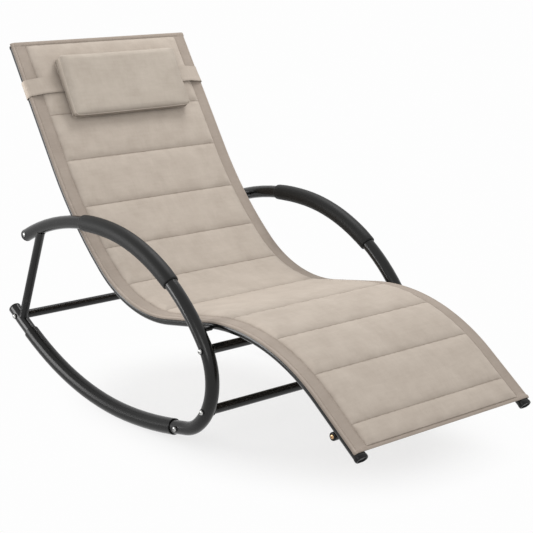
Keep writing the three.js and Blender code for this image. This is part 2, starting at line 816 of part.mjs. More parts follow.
addPair("arm_tube", armTube(), graphite);
addPair("rocker_tube", rockerTube(), graphite);
addPair("rocker_sleeve", rockerSleeve(), blackPlastic);
addPair("rear_post", rearPost(), graphite);
addPair("foam_grip", foamGrip(), foam);
addPair("arm_end_cap", armCap(), blackPlastic);
addPair("rocker_end_cap", tubeCap(rockerRun, rockerBore), blackPlastic);
add("rear_crossbar", crossbar(crossbarPlaces.rear, rockerSaddle), graphite);
add("middle_crossbar", crossbar(crossbarPlaces.middle, armSaddle), graphite);
add("lower_front_crossbar", crossbar(crossbarPlaces.lower_front, armSaddle), graphite);
addPair("rear_crossbar_bolt", crossbarBolt(crossbarPlaces.rear), brightSteel);
addPair("middle_crossbar_bolt", crossbarBolt(crossbarPlaces.middle), brightSteel);
addPair("lower_crossbar_bolt", crossbarBolt(crossbarPlaces.lower_front), brightSteel);
const jointHeadY = loopY + tubeRadius + seatGap;
const jointReach = tubeRadius / 2;
const jointBolt = bolt(
  boltHeadDiameter, boltHeadHeight, boltShank, jointHeadY, jointReach, jointBoltPlace.x, jointBoltPlace.z,
);
addPair("joint_bolt", jointBolt, brightSteel);
const capScrew = bolt(
  capScrewHead, capScrewHeadHeight, capScrewShank, jointHeadY, jointReach, capScrewPlace.x, capScrewPlace.z,
);
addPair("arm_cap_screw", capScrew, brightSteel);
addPair("seat_rail", seatRail(), graphite);
addPair("rail_foot_cap", railCap(railRun[railRun.length - 1], 1), blackPlastic);
addPair("rail_head_cap", railCap(railRun[0], -1), blackPlastic);
["front", "rear"].forEach((where, k) => {
  addPair(`${where}_rail_spacer`, spacer(spacerPlaces[k]), graphite);
  addPair(`${where}_rail_bolt`, railBolt(spacerPlaces[k]), brightSteel);
});
add("head_spreader_bar", headSpreader(), graphite);
add("foot_spreader_bar", footSpreader(), graphite);
addPair("foot_spreader_cap", footSpreaderCap(), blackPlastic);
addPair("foot_spreader_screw", footSpreaderScrew(), brass);
add("padded_sling", sling(), beigeCloth);
add("pillow", pillow(), pillowCloth);
add("pillow_band", band(), elastic);

// The frame's origin: the middle of the footprint, on the floor
const box = new THREE.Box3().setFromObject(chair, true);
const centre = box.getCenter(new THREE.Vector3());
chair.position.set(-centre.x, 0, -box.min.z);
chair.updateMatrixWorld(true);

export default chair;
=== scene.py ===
# %% [markdown]
# A rocking chaise lounge stands on two curved rockers. On each side bent tubes make a closed loop, a
# quilted sling hangs between the loops on two rails, and a small pillow slides on an elastic band.
# Its pieces exist as CAD solids, and those could simply be given colours. But solids that are made to be
# measured have no weave, no puckers and no rounded rims, so each piece is modelled again here, in the
# same place. Everything is in metres: +X points to the foot end, +Y to the sitter's left and +Z up.

# %% Start: the frame
import json
from math import atan2, ceil, copysign, cos, degrees, hypot, pi, radians, sin

import bpy
from mathutils import Matrix, Vector

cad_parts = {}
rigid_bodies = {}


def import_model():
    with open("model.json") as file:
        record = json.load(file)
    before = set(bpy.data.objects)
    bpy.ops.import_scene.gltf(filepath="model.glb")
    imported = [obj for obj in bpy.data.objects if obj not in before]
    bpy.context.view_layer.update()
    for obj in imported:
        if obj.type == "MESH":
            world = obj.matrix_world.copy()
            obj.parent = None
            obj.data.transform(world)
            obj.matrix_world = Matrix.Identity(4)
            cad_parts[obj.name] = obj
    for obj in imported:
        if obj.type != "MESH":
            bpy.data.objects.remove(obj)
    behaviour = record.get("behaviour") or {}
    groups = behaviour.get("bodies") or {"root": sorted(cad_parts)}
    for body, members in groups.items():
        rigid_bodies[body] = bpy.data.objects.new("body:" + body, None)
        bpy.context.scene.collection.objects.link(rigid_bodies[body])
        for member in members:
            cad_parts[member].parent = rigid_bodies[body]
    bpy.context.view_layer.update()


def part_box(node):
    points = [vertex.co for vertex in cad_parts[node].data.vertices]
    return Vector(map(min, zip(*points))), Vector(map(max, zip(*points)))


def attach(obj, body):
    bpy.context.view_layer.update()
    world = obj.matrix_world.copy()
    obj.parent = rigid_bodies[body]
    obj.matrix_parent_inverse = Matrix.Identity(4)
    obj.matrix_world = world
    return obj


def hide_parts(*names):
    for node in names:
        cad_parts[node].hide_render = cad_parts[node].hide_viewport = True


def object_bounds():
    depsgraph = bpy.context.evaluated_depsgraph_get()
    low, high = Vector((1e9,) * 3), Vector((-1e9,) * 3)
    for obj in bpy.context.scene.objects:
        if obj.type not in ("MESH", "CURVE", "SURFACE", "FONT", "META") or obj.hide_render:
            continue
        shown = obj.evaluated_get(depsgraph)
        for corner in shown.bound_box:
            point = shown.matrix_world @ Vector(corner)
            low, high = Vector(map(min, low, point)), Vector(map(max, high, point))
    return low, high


for old in list(bpy.data.objects):
    bpy.data.objects.remove(old)
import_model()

# %% [markdown]
# A photograph is a view from one place through one lens. The camera could be set by eye. It was fitted
# instead, on places of the chair that can be named in the picture, such as tube ends and the corners of
# the cloth, because the shapes can then be compared edge by edge.

# %% Camera
camera_data = bpy.data.cameras.new("camera")
camera_data.lens, camera_data.sensor_width, camera_data.clip_end = 98.14, 36, 400
camera = bpy.data.objects.new("camera", camera_data)
camera.location = (2.59479, -2.23040, 1.16193)
camera.rotation_euler = (radians(76.63), 0, radians(48.84))
bpy.context.scene.collection.objects.link(camera)
bpy.context.scene.camera = camera
print("camera", round(camera.location.length, 2), "m from the chair")

# %% [markdown]
# A bent tube is made of straight lengths and round bends, all in one upright plane. It could be drawn as
# a curve with handles, or as a list of points. Here a line is a start and its legs, because legs are what
# a bending machine is set to, and a place at any distance along the line can be worked out from them.

# %% Bent lines
MM = 0.001


def straight(length):
    return length * MM, 0


def arc(radius, turn):
    """A round bend: its radius in millimetres and its turn in degrees, from X to Z when above zero."""
    return radius * MM * radians(abs(turn)), radians(turn)


def step_along(place, leg, distance):
    """The place (x, z, heading) that lies a distance along a leg."""
    x, z, heading = place
    length, turn = leg
    if turn == 0:
        return x + distance * cos(heading), z + distance * sin(heading), heading
    radius = length / turn
    ahead = heading + distance / radius
    return x + radius * (sin(ahead) - sin(heading)), z - radius * (cos(ahead) - cos(heading)), ahead


def spot(line, s):
    """The place at a distance s along a whole line, which goes on straight past both ends."""
    place, legs = line
    if s <= 0:
        return step_along(place, straight(1), s)
    for leg in legs:
        place = step_along(place, leg, min(s, leg[0]))
        s -= leg[0]
        if s <= 0:
            return place
    return step_along(place, straight(1), s)


def length_of(line):
    return sum(length for length, turn in line[1])


def heading_vector(heading):
    return Vector((cos(heading), 0, sin(heading)))


# %% [markdown]
# The chair has three such lines, and each is used on both sides. The arm and the rocker start together at
# the front joint, and the rail starts at the head end. They could be traced along the CAD solids, but the
# solids were bent by the same legs, so the same numbers are the shortest and truest way to write them.

# %% The three lines of the chair
joint_x, joint_z, joint_slope = 82.943 * MM, 35.155 * MM, radians(10)
rocker_legs = [arc(1100, -8), arc(960, -4), arc(800, -24), arc(1100, -8.2)]
rocker_line = ((joint_x, joint_z, pi + joint_slope), rocker_legs)
arm_legs = [straight(40), arc(98, 29), arc(141, 86), arc(482, 49.8), arc(675, 32)]
arm_line = ((joint_x, joint_z, joint_slope), arm_legs)
rail_legs = [straight(335), arc(985, 17.2), arc(329, 49.8), straight(145), arc(475, -46), straight(149)]
rail_line = ((-628.238 * MM, 846.848 * MM, radians(-58.1)), rail_legs)
arm_length, rocker_length, rail_length = (length_of(line) for line in (arm_line, rocker_line, rail_line))
loop_y, rail_y = 0.312, 0.259
print("arm", round(arm_length, 4), "rocker", round(rocker_length, 4), "rail", round(rail_length, 4))

# %% [markdown]
# A finish is a network of nodes. It could be wired by hand in the shader editor, where it is hard to read
# later. Here one small class wraps a socket, so that a sum on it adds a Math node and maths reads like
# maths. A second class adds any other node: its settings come first, then its sockets.

# %% Writing materials: values
class Value:
    """A number or a vector that changes over a surface. Sums on it add the Math nodes."""

    def __init__(self, finish, socket):
        self.finish, self.socket = finish, socket

    def maths(self, operation, other=None, swapped=False, clamp=False):
        pair = (other, self) if swapped else (self, other)
        return self.finish.node("Math", {"operation": operation, "use_clamp": clamp}, dict(enumerate(pair)))

    def __add__(self, other):
        return self.maths("ADD", other)

    def __radd__(self, other):
        return self.maths("ADD", other, swapped=True)

    def __sub__(self, other):
        return self.maths("SUBTRACT", other)

    def __rsub__(self, other):
        return self.maths("SUBTRACT", other, swapped=True)

    def __mul__(self, other):
        return self.maths("MULTIPLY", other)

    def __rmul__(self, other):
        return self.maths("MULTIPLY", other, swapped=True)

    def __truediv__(self, other):
        return self.maths("DIVIDE", other)

    def __rtruediv__(self, other):
        return self.maths("DIVIDE", other, swapped=True)

    def clamped(self):
        return self.maths("ADD", 0.0, clamp=True)

    def between(self, low, high):
        """Zero at low, one at high, and a straight ramp between them."""
        return ((self - low) / (high - low)).clamped()


# %% Writing materials: finishes
class Finish:
    """The nodes of one material, or of the world."""

    def __init__(self, name, world=False):
        self.owner = bpy.data.worlds.new(name) if world else bpy.data.materials.new(name)
        self.owner.use_nodes = True
        self.tree = self.owner.node_tree
        self.surface = self.tree.nodes.get("Principled BSDF")

    def node(self, kind, settings=None, sockets=None, output=0):
        """Adds a node: its settings come first, then the values or links of its sockets."""
        node = self.tree.nodes.new("ShaderNode" + kind)
        for key, setting in (settings or {}).items():
            setattr(node, key, setting)
        for key, value in (sockets or {}).items():
            self.feed(node.inputs[key], value)
        return Value(self, node.outputs[output])

    def feed(self, socket, value):
        if isinstance(value, Value):
            self.tree.links.new(value.socket, socket)
        elif value is not None:
            socket.default_value = value

    def set(self, **sockets):
        for key, value in sockets.items():
            self.feed(self.surface.inputs[key.replace("_", " ")], value)

    def place(self):
        return self.node("TexCoord", output="Object")

    def attribute(self, name, output="Vector"):
        return self.node("Attribute", {"attribute_name": name}, output=output)

    def part_of(self, vector, axis):
        return self.node("SeparateXYZ", None, {0: vector}, axis)

    def noise(self, vector, scale, detail=3.0, roughness=0.5, stretch=None):
        if stretch:
            vector = self.node("VectorMath", {"operation": "MULTIPLY"}, {0: vector, 1: stretch})
        sockets = {"Vector": vector, "Scale": scale, "Detail": detail, "Roughness": roughness}
        return self.node("TexNoise", None, sockets)

    def mix(self, first, second, share):
        return self.node("Mix", {"data_type": "RGBA"}, {0: share, 6: first, 7: second}, 2)

    def relief(self, height, depth, strength):
        self.set(Normal=self.node("Bump", None, {"Strength": strength, "Distance": depth, "Height": height}))

    def ray(self, *kinds):
        """One for rays of any of these kinds, such as Camera or Glossy."""
        return sum(self.node("LightPath", output=f"Is {kind} Ray") for kind in kinds).clamped()


# %% [markdown]
# Colours are read off a screen, but the nodes work with plain amounts of light. The amounts could be
# looked up one by one. This helper does it, so that every colour below is one that a picture shows.

# %% Colours from a screen
def tone(red, green, blue):
    """A screen colour from 0 to 255, as the plain light values that the nodes use."""
    values = [c / 255 for c in (red, green, blue)]
    return tuple(c / 12.92 if c <= 0.04045 else ((c + 0.055) / 1.055) ** 2.4 for c in values) + (1.0,)


print("a middle grey is", round(tone(128, 128, 128)[0], 3))

# %% [markdown]
# The tubes are powder-coated in graphite, a thin skin with a fine speckle that wears a little where hands
# and feet pass. It could be one flat colour, or a picture of paint. Noise in the object's own coordinates
# needs no picture and never stretches. The gloss follows only the large patches, because a fine grain in
# the roughness would break the long highlights into dots.

# %% Paint
def make_paint():
    finish = Finish("graphite_paint")
    place = finish.place()
    speckle = finish.noise(place, 420).between(0.35, 0.65)
    patches = finish.noise(place, 6).between(0.35, 0.65)
    worn = finish.noise(place, 40, 5).between(0.66, 0.74)
    plain = finish.mix(tone(9, 9, 9), tone(24, 24, 23), speckle * 0.5 + patches * 0.25)
    finish.set(Base_Color=finish.mix(plain, tone(80, 79, 76), worn * 0.15))
    finish.set(Roughness=0.2 + patches * 0.05, Specular_IOR_Level=0.31)
    return finish.owner


paint = make_paint()
print("paint", len(paint.node_tree.nodes), "nodes")

# %% [markdown]
# The caps are black moulded plastic, and so are the sleeves that protect the floor, which are a little
# glossier and get scuffed along their length. Two materials could be written out. They differ only in
# tone and gloss, so one function makes both, with noise that is drawn out along X for the scuffs.

# %% Plastics
def make_plastic(name, dark, pale, roughness):
    finish = Finish(name)
    place = finish.place()
    grain = finish.noise(place, 320)
    scuff = finish.noise(place, 60, 4, stretch=(0.25, 1, 1)).between(0.6, 0.78)
    finish.set(Base_Color=finish.mix(dark, pale, (grain * 0.4 + scuff * 0.3).clamped()))
    finish.set(Roughness=roughness + scuff * 0.05, Specular_IOR_Level=0.2)
    return finish.owner


black_plastic = make_plastic("black_plastic", tone(11, 11, 12), tone(28, 28, 28), 0.3)
sleeve_plastic = make_plastic("sleeve_plastic", tone(11, 11, 11), tone(28, 28, 27), 0.23)
print("plastics", black_plastic.name, sleeve_plastic.name)

# %% [markdown]
# The grips are soft foam: dull, nearly black and full of tiny pores. The pores could be modelled, but they
# are smaller than a millimetre and there would be thousands. A fine noise darkens them, a shallow bump
# sinks them, and a trace of sheen gives the foam its soft edge.

# %% Foam
def make_foam():
    finish = Finish("grip_foam")
    place = finish.place()
    pores = finish.noise(place, 700, 4, 0.7).between(0.3, 0.6)
    cloudy = finish.noise(place, 30)
    finish.set(Base_Color=finish.mix(tone(11, 11, 11), tone(27, 27, 26), pores * 0.5 + cloudy * 0.4))
    finish.set(Roughness=0.46 + cloudy * 0.1, Specular_IOR_Level=0.2)
    finish.set(Sheen_Weight=0.03, Sheen_Roughness=0.5)
    finish.relief(pores, 0.0002, 0.3)
    return finish.owner


foam = make_foam()
print("foam", len(foam.node_tree.nodes), "nodes")

# %% [markdown]
# The bolts are bright steel and the two foot screws look like brass. A metal shows mostly what it
# reflects, so it could be left plain. Turning marks and a faint stain keep it from looking like a mirror,
# and both metals come from the same function.

# %% Metals
def make_metal(name, dark, pale):
    finish = Finish(name)
    place = finish.place()
    marks = finish.noise(place, 700, 2)
    stain = finish.noise(place, 90).between(0.5, 0.75)
    finish.set(Base_Color=finish.mix(pale, dark, (marks * 0.3 + stain * 0.4).clamped()))
    finish.set(Roughness=0.26 + marks * 0.12, Metallic=1.0)
    finish.relief(marks, 0.00002, 0.4)
    return finish.owner


steel = make_metal("bright_steel", tone(128, 128, 127), tone(196, 196, 194))
brass = make_metal("brass", tone(128, 98, 68), tone(206, 172, 132))
print("metals", steel.name, brass.name)

# %% [markdown]
# The cloth is woven from sand-coloured yarn and is slightly mottled. An image of a weave could be laid on
# it, but it would need careful unwrapping. Instead every cloth piece carries the place it had while it lay
# flat, in an attribute called flat, and the threads are drawn on that, so they follow every bend. A second
# attribute says where shade is painted into the cloth's colour: in the seams and where it turns under.

# %% How cloth is drawn
SIDE_SEAM = 0.2687  # how far from the middle the sling's side seams lie
# Painted shadow darkens the lapped edges over this band.
PAINTED_SHADOW_BAND = (0.2712, 0.2752)  # where its lapped edges turn away from the light


def make_cloth(name, tones, thread, depth, rim=None, painted_shade=None):
    finish = Finish(name)
    flat = finish.attribute("flat")
    along = finish.part_of(flat, "X") * (2 * pi / thread)
    across = finish.part_of(flat, "Y") * (2 * pi / thread)
    over = along.maths("SINE") * across.maths("SINE")
    slub = finish.noise(flat, 1100, 3, 0.6)
    long_streaks = finish.noise(flat, 170, 4, 0.6, stretch=(0.2, 1, 1)).between(0.3, 0.7)
    cross_streaks = finish.noise(flat, 170, 4, 0.6, stretch=(1, 0.14, 1)).between(0.3, 0.7)
    brushed = finish.noise(flat, 16, 5, 0.6).between(0.3, 0.7)
    share = long_streaks * 0.1 + cross_streaks * 0.14 + brushed * 0.4 + over * 0.05 + slub * 0.31
    shade = finish.mix(*tones, share.clamped())
    if rim:
        dark, pale, shadow = rim
        from_middle = finish.part_of(flat, "Y").maths("ABSOLUTE")
        outside = from_middle.between(SIDE_SEAM - 0.0006, SIDE_SEAM + 0.0006)
        shade = finish.mix(shade, finish.mix(dark, pale, share.clamped()), outside)
        # Painted shadow on the lapped edges, where they turn away from the light.
        shade = finish.mix(shade, shadow, from_middle.between(*PAINTED_SHADOW_BAND) * 0.6)
    # Painted shade in seams and under edges, as much as the cloth's second attribute asks for.
    if painted_shade:
        shade = finish.mix(shade, painted_shade, finish.attribute("painted_shade", "Fac") * 0.6)
    finish.set(Base_Color=shade, Roughness=0.84 + slub * 0.1)
    finish.set(Sheen_Weight=0.2, Sheen_Roughness=0.45, Sheen_Tint=tones[1])
    finish.relief(over * 0.4 + slub, depth, 0.6)
    return finish.owner


# %% [markdown]
# The chair has five cloths that are close in colour: the pad, the side strips with their paler rim, the
# pillow, the elastic and the sewing thread. One shared cloth would be simpler, but the photograph shows
# small differences in tone and coarseness, so each is the same recipe with its own tones and thread.

# %% The five cloths
# The darkest tone of the pad, the pillow and the band is painted shade, and the third rim tone is painted
# shadow.
pad_tones = tone(163, 151, 139), tone(190, 179, 167)
pad_cloth = make_cloth("pad_cloth", pad_tones, 0.0011, 0.0001, painted_shade=tone(112, 100, 90))
side_tones = tone(143, 131, 120), tone(168, 156, 145)
rim_and_shadow_tones = tone(150, 138, 127), tone(176, 164, 153), tone(92, 82, 73)
side_cloth = make_cloth("side_cloth", side_tones, 0.0013, 0.00012, rim=rim_and_shadow_tones)
pillow_tones = tone(160, 149, 137), tone(188, 178, 166)
pillow_cloth = make_cloth("pillow_cloth", pillow_tones, 0.0011, 0.0001, painted_shade=tone(66, 57, 49))
strap_tones = tone(157, 145, 133), tone(188, 177, 165)
strap_cloth = make_cloth("elastic_band", strap_tones, 0.0022, 0.00015, painted_shade=tone(80, 70, 61))
thread_tones = tone(146, 134, 121), tone(186, 174, 161)
thread_cloth = make_cloth("sewing_thread", thread_tones, 0.0006, 0.00006)
print("cloths", [cloth.name for cloth in (pad_cloth, side_cloth, pillow_cloth, strap_cloth, thread_cloth)])

# %% [markdown]
# A script models with the same tools as the menus, and these work on whatever is selected. Meshes could
# also be written point by point, but the tools stay close to what one would do by hand. So the first
# helpers select one piece alone, open it for editing, and start a new piece from a primitive.

# %% Selecting and starting pieces
def only(o):
    bpy.ops.object.select_all(action="DESELECT")
    o.select_set(True)
    bpy.context.view_layer.objects.active = o


def edit(o):
    if bpy.context.object and bpy.context.object.mode != "OBJECT":
        bpy.ops.object.mode_set(mode="OBJECT")
    only(o)
    bpy.ops.object.mode_set(mode="EDIT")
    bpy.ops.mesh.select_all(action="SELECT")


def leave():
    bpy.ops.object.mode_set(mode="OBJECT")


def started(name, add, **settings):
    """A new piece from one of the primitive tools, under its own name."""
    bpy.ops.object.select_all(action="DESELECT")
    add(**settings)
    o = bpy.context.object
    o.name = o.data.name = name
    return o


# %% [markdown]
# A tube is a ring that is pulled along a line. A curve with a bevel would make a tube as well. Extrude and
# Spin were chosen, because each bend then gets as many steps as its angle needs, and the ring can change
# its size on the way, which makes rims, beads and narrowed ends.

# %% Pulling a ring along
def ring(name, place, direction, radius, sides=32, wider=0.0):
    """A ring round a place, facing along a direction. wider moves its two halves apart in Y."""
    o = started(name, bpy.ops.mesh.primitive_circle_add, vertices=sides, radius=radius)
    if wider:
        for v in o.data.vertices:
            if abs(v.co.y) > 1e-6:
                v.co.y += wider / 2 * (1 if v.co.y > 0 else -1)
    turn = Vector((0, 0, 1)).rotation_difference(Vector(direction))
    if abs(direction[1]) < 1e-9:
        turn = Matrix.Rotation(atan2(direction[0], direction[2]), 3, "Y").to_quaternion()
    o.rotation_mode = "QUATERNION"
    o.rotation_quaternion = turn
    o.location = place
    bpy.ops.object.transform_apply(location=True, rotation=True, scale=True)
    edit(o)
    return o


def pull(direction, distance):
    bpy.ops.mesh.extrude_region_move(TRANSFORM_OT_translate={"value": tuple(Vector(direction) * distance)})


def scale_ring(share, centre):
    bpy.ops.transform.resize(value=(share, share, share), center_override=tuple(centre))


def pull_along(line, y, start=0.0, end=None, bend=3.0):
    """Pulls the chosen ring along a bent line, turning at most `bend` degrees a step."""
    place, legs = line
    reached = 0.0
    end = length_of(line) if end is None else end
    for length, turn in legs:
        first, last = max(start, reached), min(end, reached + length)
        reached += length
        if last - first < 1e-7:
            continue
        x, z, heading = spot(line, first)
        if turn == 0:
            pull(heading_vector(heading), last - first)
            continue
        radius = length / turn
        centre = (x - radius * sin(heading), y, z + radius * cos(heading))
        angle = abs((last - first) / radius)
        axis = (0, 1 if turn > 0 else -1, 0)
        steps = max(1, ceil(degrees(angle) / bend))
        bpy.ops.mesh.spin(steps=steps, angle=angle, center=centre, axis=axis)


# %% [markdown]
# The two sides of the chair are mirror images. A Mirror modifier could show the other side, but each side
# has to be a piece of its own that stands for its own CAD node. So the left piece is made, a copy with its
# own mesh is turned over, and each gets its finish and its body, while its CAD node is hidden.

# %% Closing, copying and finishing a piece
def close_up(o, smooth=35):
    """Fills open ends, turns the faces outwards and smooths the round parts."""
    bpy.ops.mesh.select_all(action="SELECT")
    bpy.ops.mesh.remove_doubles(threshold=1e-6)
    bpy.ops.mesh.select_all(action="SELECT")
    bpy.ops.mesh.fill_holes(sides=0)
    bpy.ops.mesh.select_all(action="SELECT")
    bpy.ops.mesh.normals_make_consistent(inside=False)
    leave()
    only(o)
    bpy.ops.object.shade_smooth_by_angle(angle=radians(smooth))
    return o


def flipped(mesh):
    """Mirrors a mesh in Y, and turns its faces outwards again."""
    mesh.transform(Matrix.Scale(-1, 4, (0, 1, 0)))
    mesh.flip_normals()


def copied(o, name, by=(0, 0, 0)):
    """A copy with its own mesh, moved."""
    twin = o.copy()
    twin.data = o.data.copy()
    twin.name = twin.data.name = name
    bpy.context.scene.collection.objects.link(twin)
    twin.data.transform(Matrix.Translation(by))
    return twin


def finished(o, material, nodes=(), body="chair_frame"):
    """Gives a piece its finish and its body, and hides the CAD nodes that it stands for."""
    o.data.materials.clear()
    o.data.materials.append(material)
    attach(o, body)
    if nodes:
        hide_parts(*nodes)


def both_sides(o, node, material):
    """Finishes the left piece and its mirror image, each in place of its CAD node."""
    twin = copied(o, o.name.replace("left", "right"))
    flipped(twin.data)
    finished(o, material, [f"left_{node}"])
    finished(twin, material, [f"right_{node}"])
    print(node, len(o.data.polygons), "faces")


# %% [markdown]
# Each loop is two tubes. The arm tube starts at the front joint, turns up in front and runs back over the
# armrest. The rocker tube starts at the same joint and runs back along the floor, and its narrowed end
# sits inside the arm tube. Both could be one closed tube, but the joint shows, so they are two.

# %% Arm and rocker tubes
TUBE = 0.016
SPIGOT, SPIGOT_LENGTH, JOINT_GAP = 0.0125, 0.036, 0.0003


def make_arm_tube():
    x, z, heading = spot(arm_line, 0)
    o = ring("arm_tube_left", (x, loop_y, z), heading_vector(heading), TUBE)
    pull_along(arm_line, loop_y)
    both_sides(close_up(o), "arm_tube", paint)


def make_rocker_tube():
    x, z, heading = spot(rocker_line, 0)
    place, forward = Vector((x, loop_y, z)), heading_vector(heading)
    o = ring("rocker_tube_left", place - forward * SPIGOT_LENGTH, forward, SPIGOT)
    pull(forward, SPIGOT_LENGTH + JOINT_GAP)
    pull(forward, 0)
    scale_ring(TUBE / SPIGOT, place + forward * JOINT_GAP)
    pull_along(rocker_line, loop_y, JOINT_GAP)
    both_sides(close_up(o), "rocker_tube", paint)


make_arm_tube()
make_rocker_tube()

# %% [markdown]
# The sleeve under the rocker and the foam grip on the arm are thicker tubes over these. They could be the
# same ring scaled up, but their ends show: the sleeve has a small chamfer, and the foam is pinched where
# it stops. So a cover follows the same line with a short profile that is used from both ends.

# %% Sleeves and grips
SNUG = TUBE + 0.0002
sleeve_ends, grip_ends = (0.002, rocker_length - 0.088), (0.470, 0.828)
sleeve_profile = [(0, 0.0181), (0.0012, 0.0192), (0.004, 0.0192)]
grip_profile = [(0, 0.0178), (0.0005, 0.0188), (0.0016, 0.0196), (0.0034, 0.0199), (0.018, 0.0202)]
grip_profile += [(0.034, 0.0205)]


def from_both_ends(low, high, profile):
    """A profile of (distance in from an end, radius), used from the low end and from the high one."""
    rings = [(low + inset, radius) for inset, radius in profile]
    return rings + [(high - inset, radius) for inset, radius in reversed(profile)]


def cover(name, line, ends, profile):
    start, end = ends
    x, z, heading = spot(line, start)
    o = ring(name, (x, loop_y, z), heading_vector(heading), SNUG)
    here, now = start, SNUG
    for s, radius in from_both_ends(start, end, profile):
        pull_along(line, loop_y, here, s, 2.5)
        if s - here < 1e-6:
            pull(heading_vector(spot(line, s)[2]), 0)
        x, z, heading = spot(line, s)
        scale_ring(radius / now, (x, loop_y, z))
        here, now = s, radius
    pull((0, 1, 0), 0)
    scale_ring(SNUG / now, (x, loop_y, z))
    return close_up(o)


sleeve = cover("rocker_sleeve_left", rocker_line, sleeve_ends, sleeve_profile)
both_sides(sleeve, "rocker_sleeve", sleeve_plastic)
grip = cover("foam_grip_left", arm_line, grip_ends, grip_profile)
both_sides(grip, "foam_grip", foam)

# %% [markdown]
# The posts are thinner straight tubes, welded to the rocker's tail and to the arm. Cylinders pushed into
# the tubes would do from afar. A weld leaves a small bead, though, so each post is turned from rings, like
# on a lathe, and grows a little wider at both ends. The same lathe makes all round pieces that follow.

# %% Rear posts
POST_BEAD = [(0, 0.0124), (0.0025, 0.0118), (0.0045, 0.011)]
BELOW_SURFACE = 0.0125  # bars and posts start this far from a tube's middle, below its surface
POST_ON_ARM, POST_ON_ROCKER = 0.076, 0.041  # from the tubes' rear ends to where the post meets them


def turned(name, place, direction, rings, sides=32, smooth=35):
    """A turned piece: its rings are (distance along the direction, radius)."""
    (first, radius), *rest = rings
    d = Vector(direction).normalized()
    o = ring(name, Vector(place) + d * first, d, radius, sides)
    here, now = first, radius
    for distance, radius in rest:
        pull(d, distance - here)
        scale_ring(radius / now, Vector(place) + d * distance)
        here, now = distance, radius
    return close_up(o, smooth)


def make_post():
    top = spot(arm_line, arm_length - POST_ON_ARM)
    foot = spot(rocker_line, rocker_length - POST_ON_ROCKER)
    run = Vector((top[0] - foot[0], 0, top[1] - foot[1]))
    rings = from_both_ends(BELOW_SURFACE, run.length - BELOW_SURFACE, POST_BEAD)
    post = turned("rear_post_left", (foot[0], loop_y, foot[1]), run.normalized(), rings)
    both_sides(post, "rear_post", paint)


make_post()

# %% [markdown]
# Moulded caps close the rear ends of both tubes. A half sphere would look too round: a real cap has a thin
# rim that sits on the tube's edge, and then a shallow dome. That is one list of rings on the lathe.

# %% Tube caps
def dome(name, line):
    x, z, heading = spot(line, length_of(line))
    rings = [(-0.018, 0.014), (0.0002, 0.014), (0.0003, 0.0157), (0.001, 0.0161), (0.0028, 0.0161)]
    rings += [(0.0045, 0.0152), (0.0064, 0.0128), (0.0078, 0.0092), (0.0086, 0.005), (0.0089, 0.0012)]
    return turned(name, (x, loop_y, z), heading_vector(heading), rings, smooth=50)


for node, line in (("arm_end_cap", arm_line), ("rocker_end_cap", rocker_line)):
    both_sides(dome(node + "_left", line), node, black_plastic)

# %% [markdown]
# Three straight crossbars hold the loops apart. Their places could be typed in again. They are read from
# the CAD frame instead, so that bars, bolts and holes stay on one axis. Each bar flares at its ends, where
# it meets the curved tube.

# %% Crossbars
BAR_FLARE = [(0, 0.0135), (0.002, 0.0125), (0.004, 0.011)]


def middle_of(node):
    low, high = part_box(node)
    return (low + high) / 2


def make_bar(name, node, rings):
    middle = middle_of(node)
    o = turned(name, (middle.x, 0, middle.z), (0, 1, 0), rings)
    finished(o, paint, [node])
    print(name, "at", round(middle.x, 3), round(middle.z, 3))


for node in ("rear_crossbar", "middle_crossbar", "lower_front_crossbar"):
    reach = loop_y - BELOW_SURFACE
    make_bar(node + "_tube", node, from_both_ends(-reach, reach, BAR_FLARE))

# %% [markdown]
# A bolt shows a low dome with a six-sided socket, and a washer under it. A plain cylinder would give it
# away in a close view. So the head is turned from rings, the socket is cut with a Boolean, and each kind
# is made once, at the origin, to be copied to where the CAD bolts are.

# %% Bolt and screw patterns
def modified(o, kind, **settings):
    """Adds a modifier and applies it."""
    modifier = o.modifiers.new(kind.lower(), kind)
    for key, setting in settings.items():
        setattr(modifier, key, setting)
    only(o)
    bpy.ops.object.modifier_apply(modifier=modifier.name)
    return o


def make_bolt(name, head, height, shank, reach, socket, depth):
    """A bolt along Y whose head stands on y = 0. head, shank and socket are measured across."""
    rim = head / 2
    rings = [(-reach, shank * 0.35), (-reach + 0.001, shank / 2), (0, shank / 2), (0, rim)]
    rings += [(height * 0.3, rim), (height * 0.55, rim * 0.94), (height * 0.78, rim * 0.8)]
    rings += [(height * 0.93, rim * 0.58), (height, rim * 0.3)]
    o = turned(name, (0, 0, 0), (0, 1, 0), rings, 36, 40)
    size = {"vertices": 6, "radius": socket / 2, "depth": 2 * depth}
    place = {"location": (0, height, 0), "rotation": (pi / 2, 0, 0)}
    tool = started("socket_tool", bpy.ops.mesh.primitive_cylinder_add, **size, **place)
    modified(o, "BOOLEAN", object=tool, operation="DIFFERENCE", solver="EXACT")
    bpy.data.objects.remove(tool)
    bpy.ops.object.shade_smooth_by_angle(angle=radians(40))
    print(name, len(o.data.polygons), "faces")
    return o


loop_bolt = make_bolt(
    "loop_bolt", head=0.0115, height=0.0042, shank=0.0078, reach=0.03, socket=0.0052, depth=0.0022
)
rail_bolt = make_bolt(
    "rail_bolt", head=0.012, height=0.004, shank=0.006, reach=0.04, socket=0.005, depth=0.0022
)
small_screw = make_bolt(
    "small_screw", head=0.010, height=0.0026, shank=0.004, reach=0.012, socket=0.004, depth=0.0016
)
washer_rings = [(0, 0.0044), (0, 0.0075), (0.0007, 0.0075), (0.0012, 0.0071), (0.0012, 0.0044), (0, 0.0044)]
washer = turned("washer", (0, 0, 0), (0, 1, 0), washer_rings, 36, 40)

# %% [markdown]
# Twelve bolts and four screws go on now, and their right-hand ones are mirrored. The rail bolts are turned
# round, because they are put in from inside the rails. Heads stand a hair above the surface under them, so
# that no two faces lie in one plane and flicker.

# %% Placing the bolts
CLEAR, WASHER = 0.0002, 0.0012
head_y = loop_y + TUBE + CLEAR


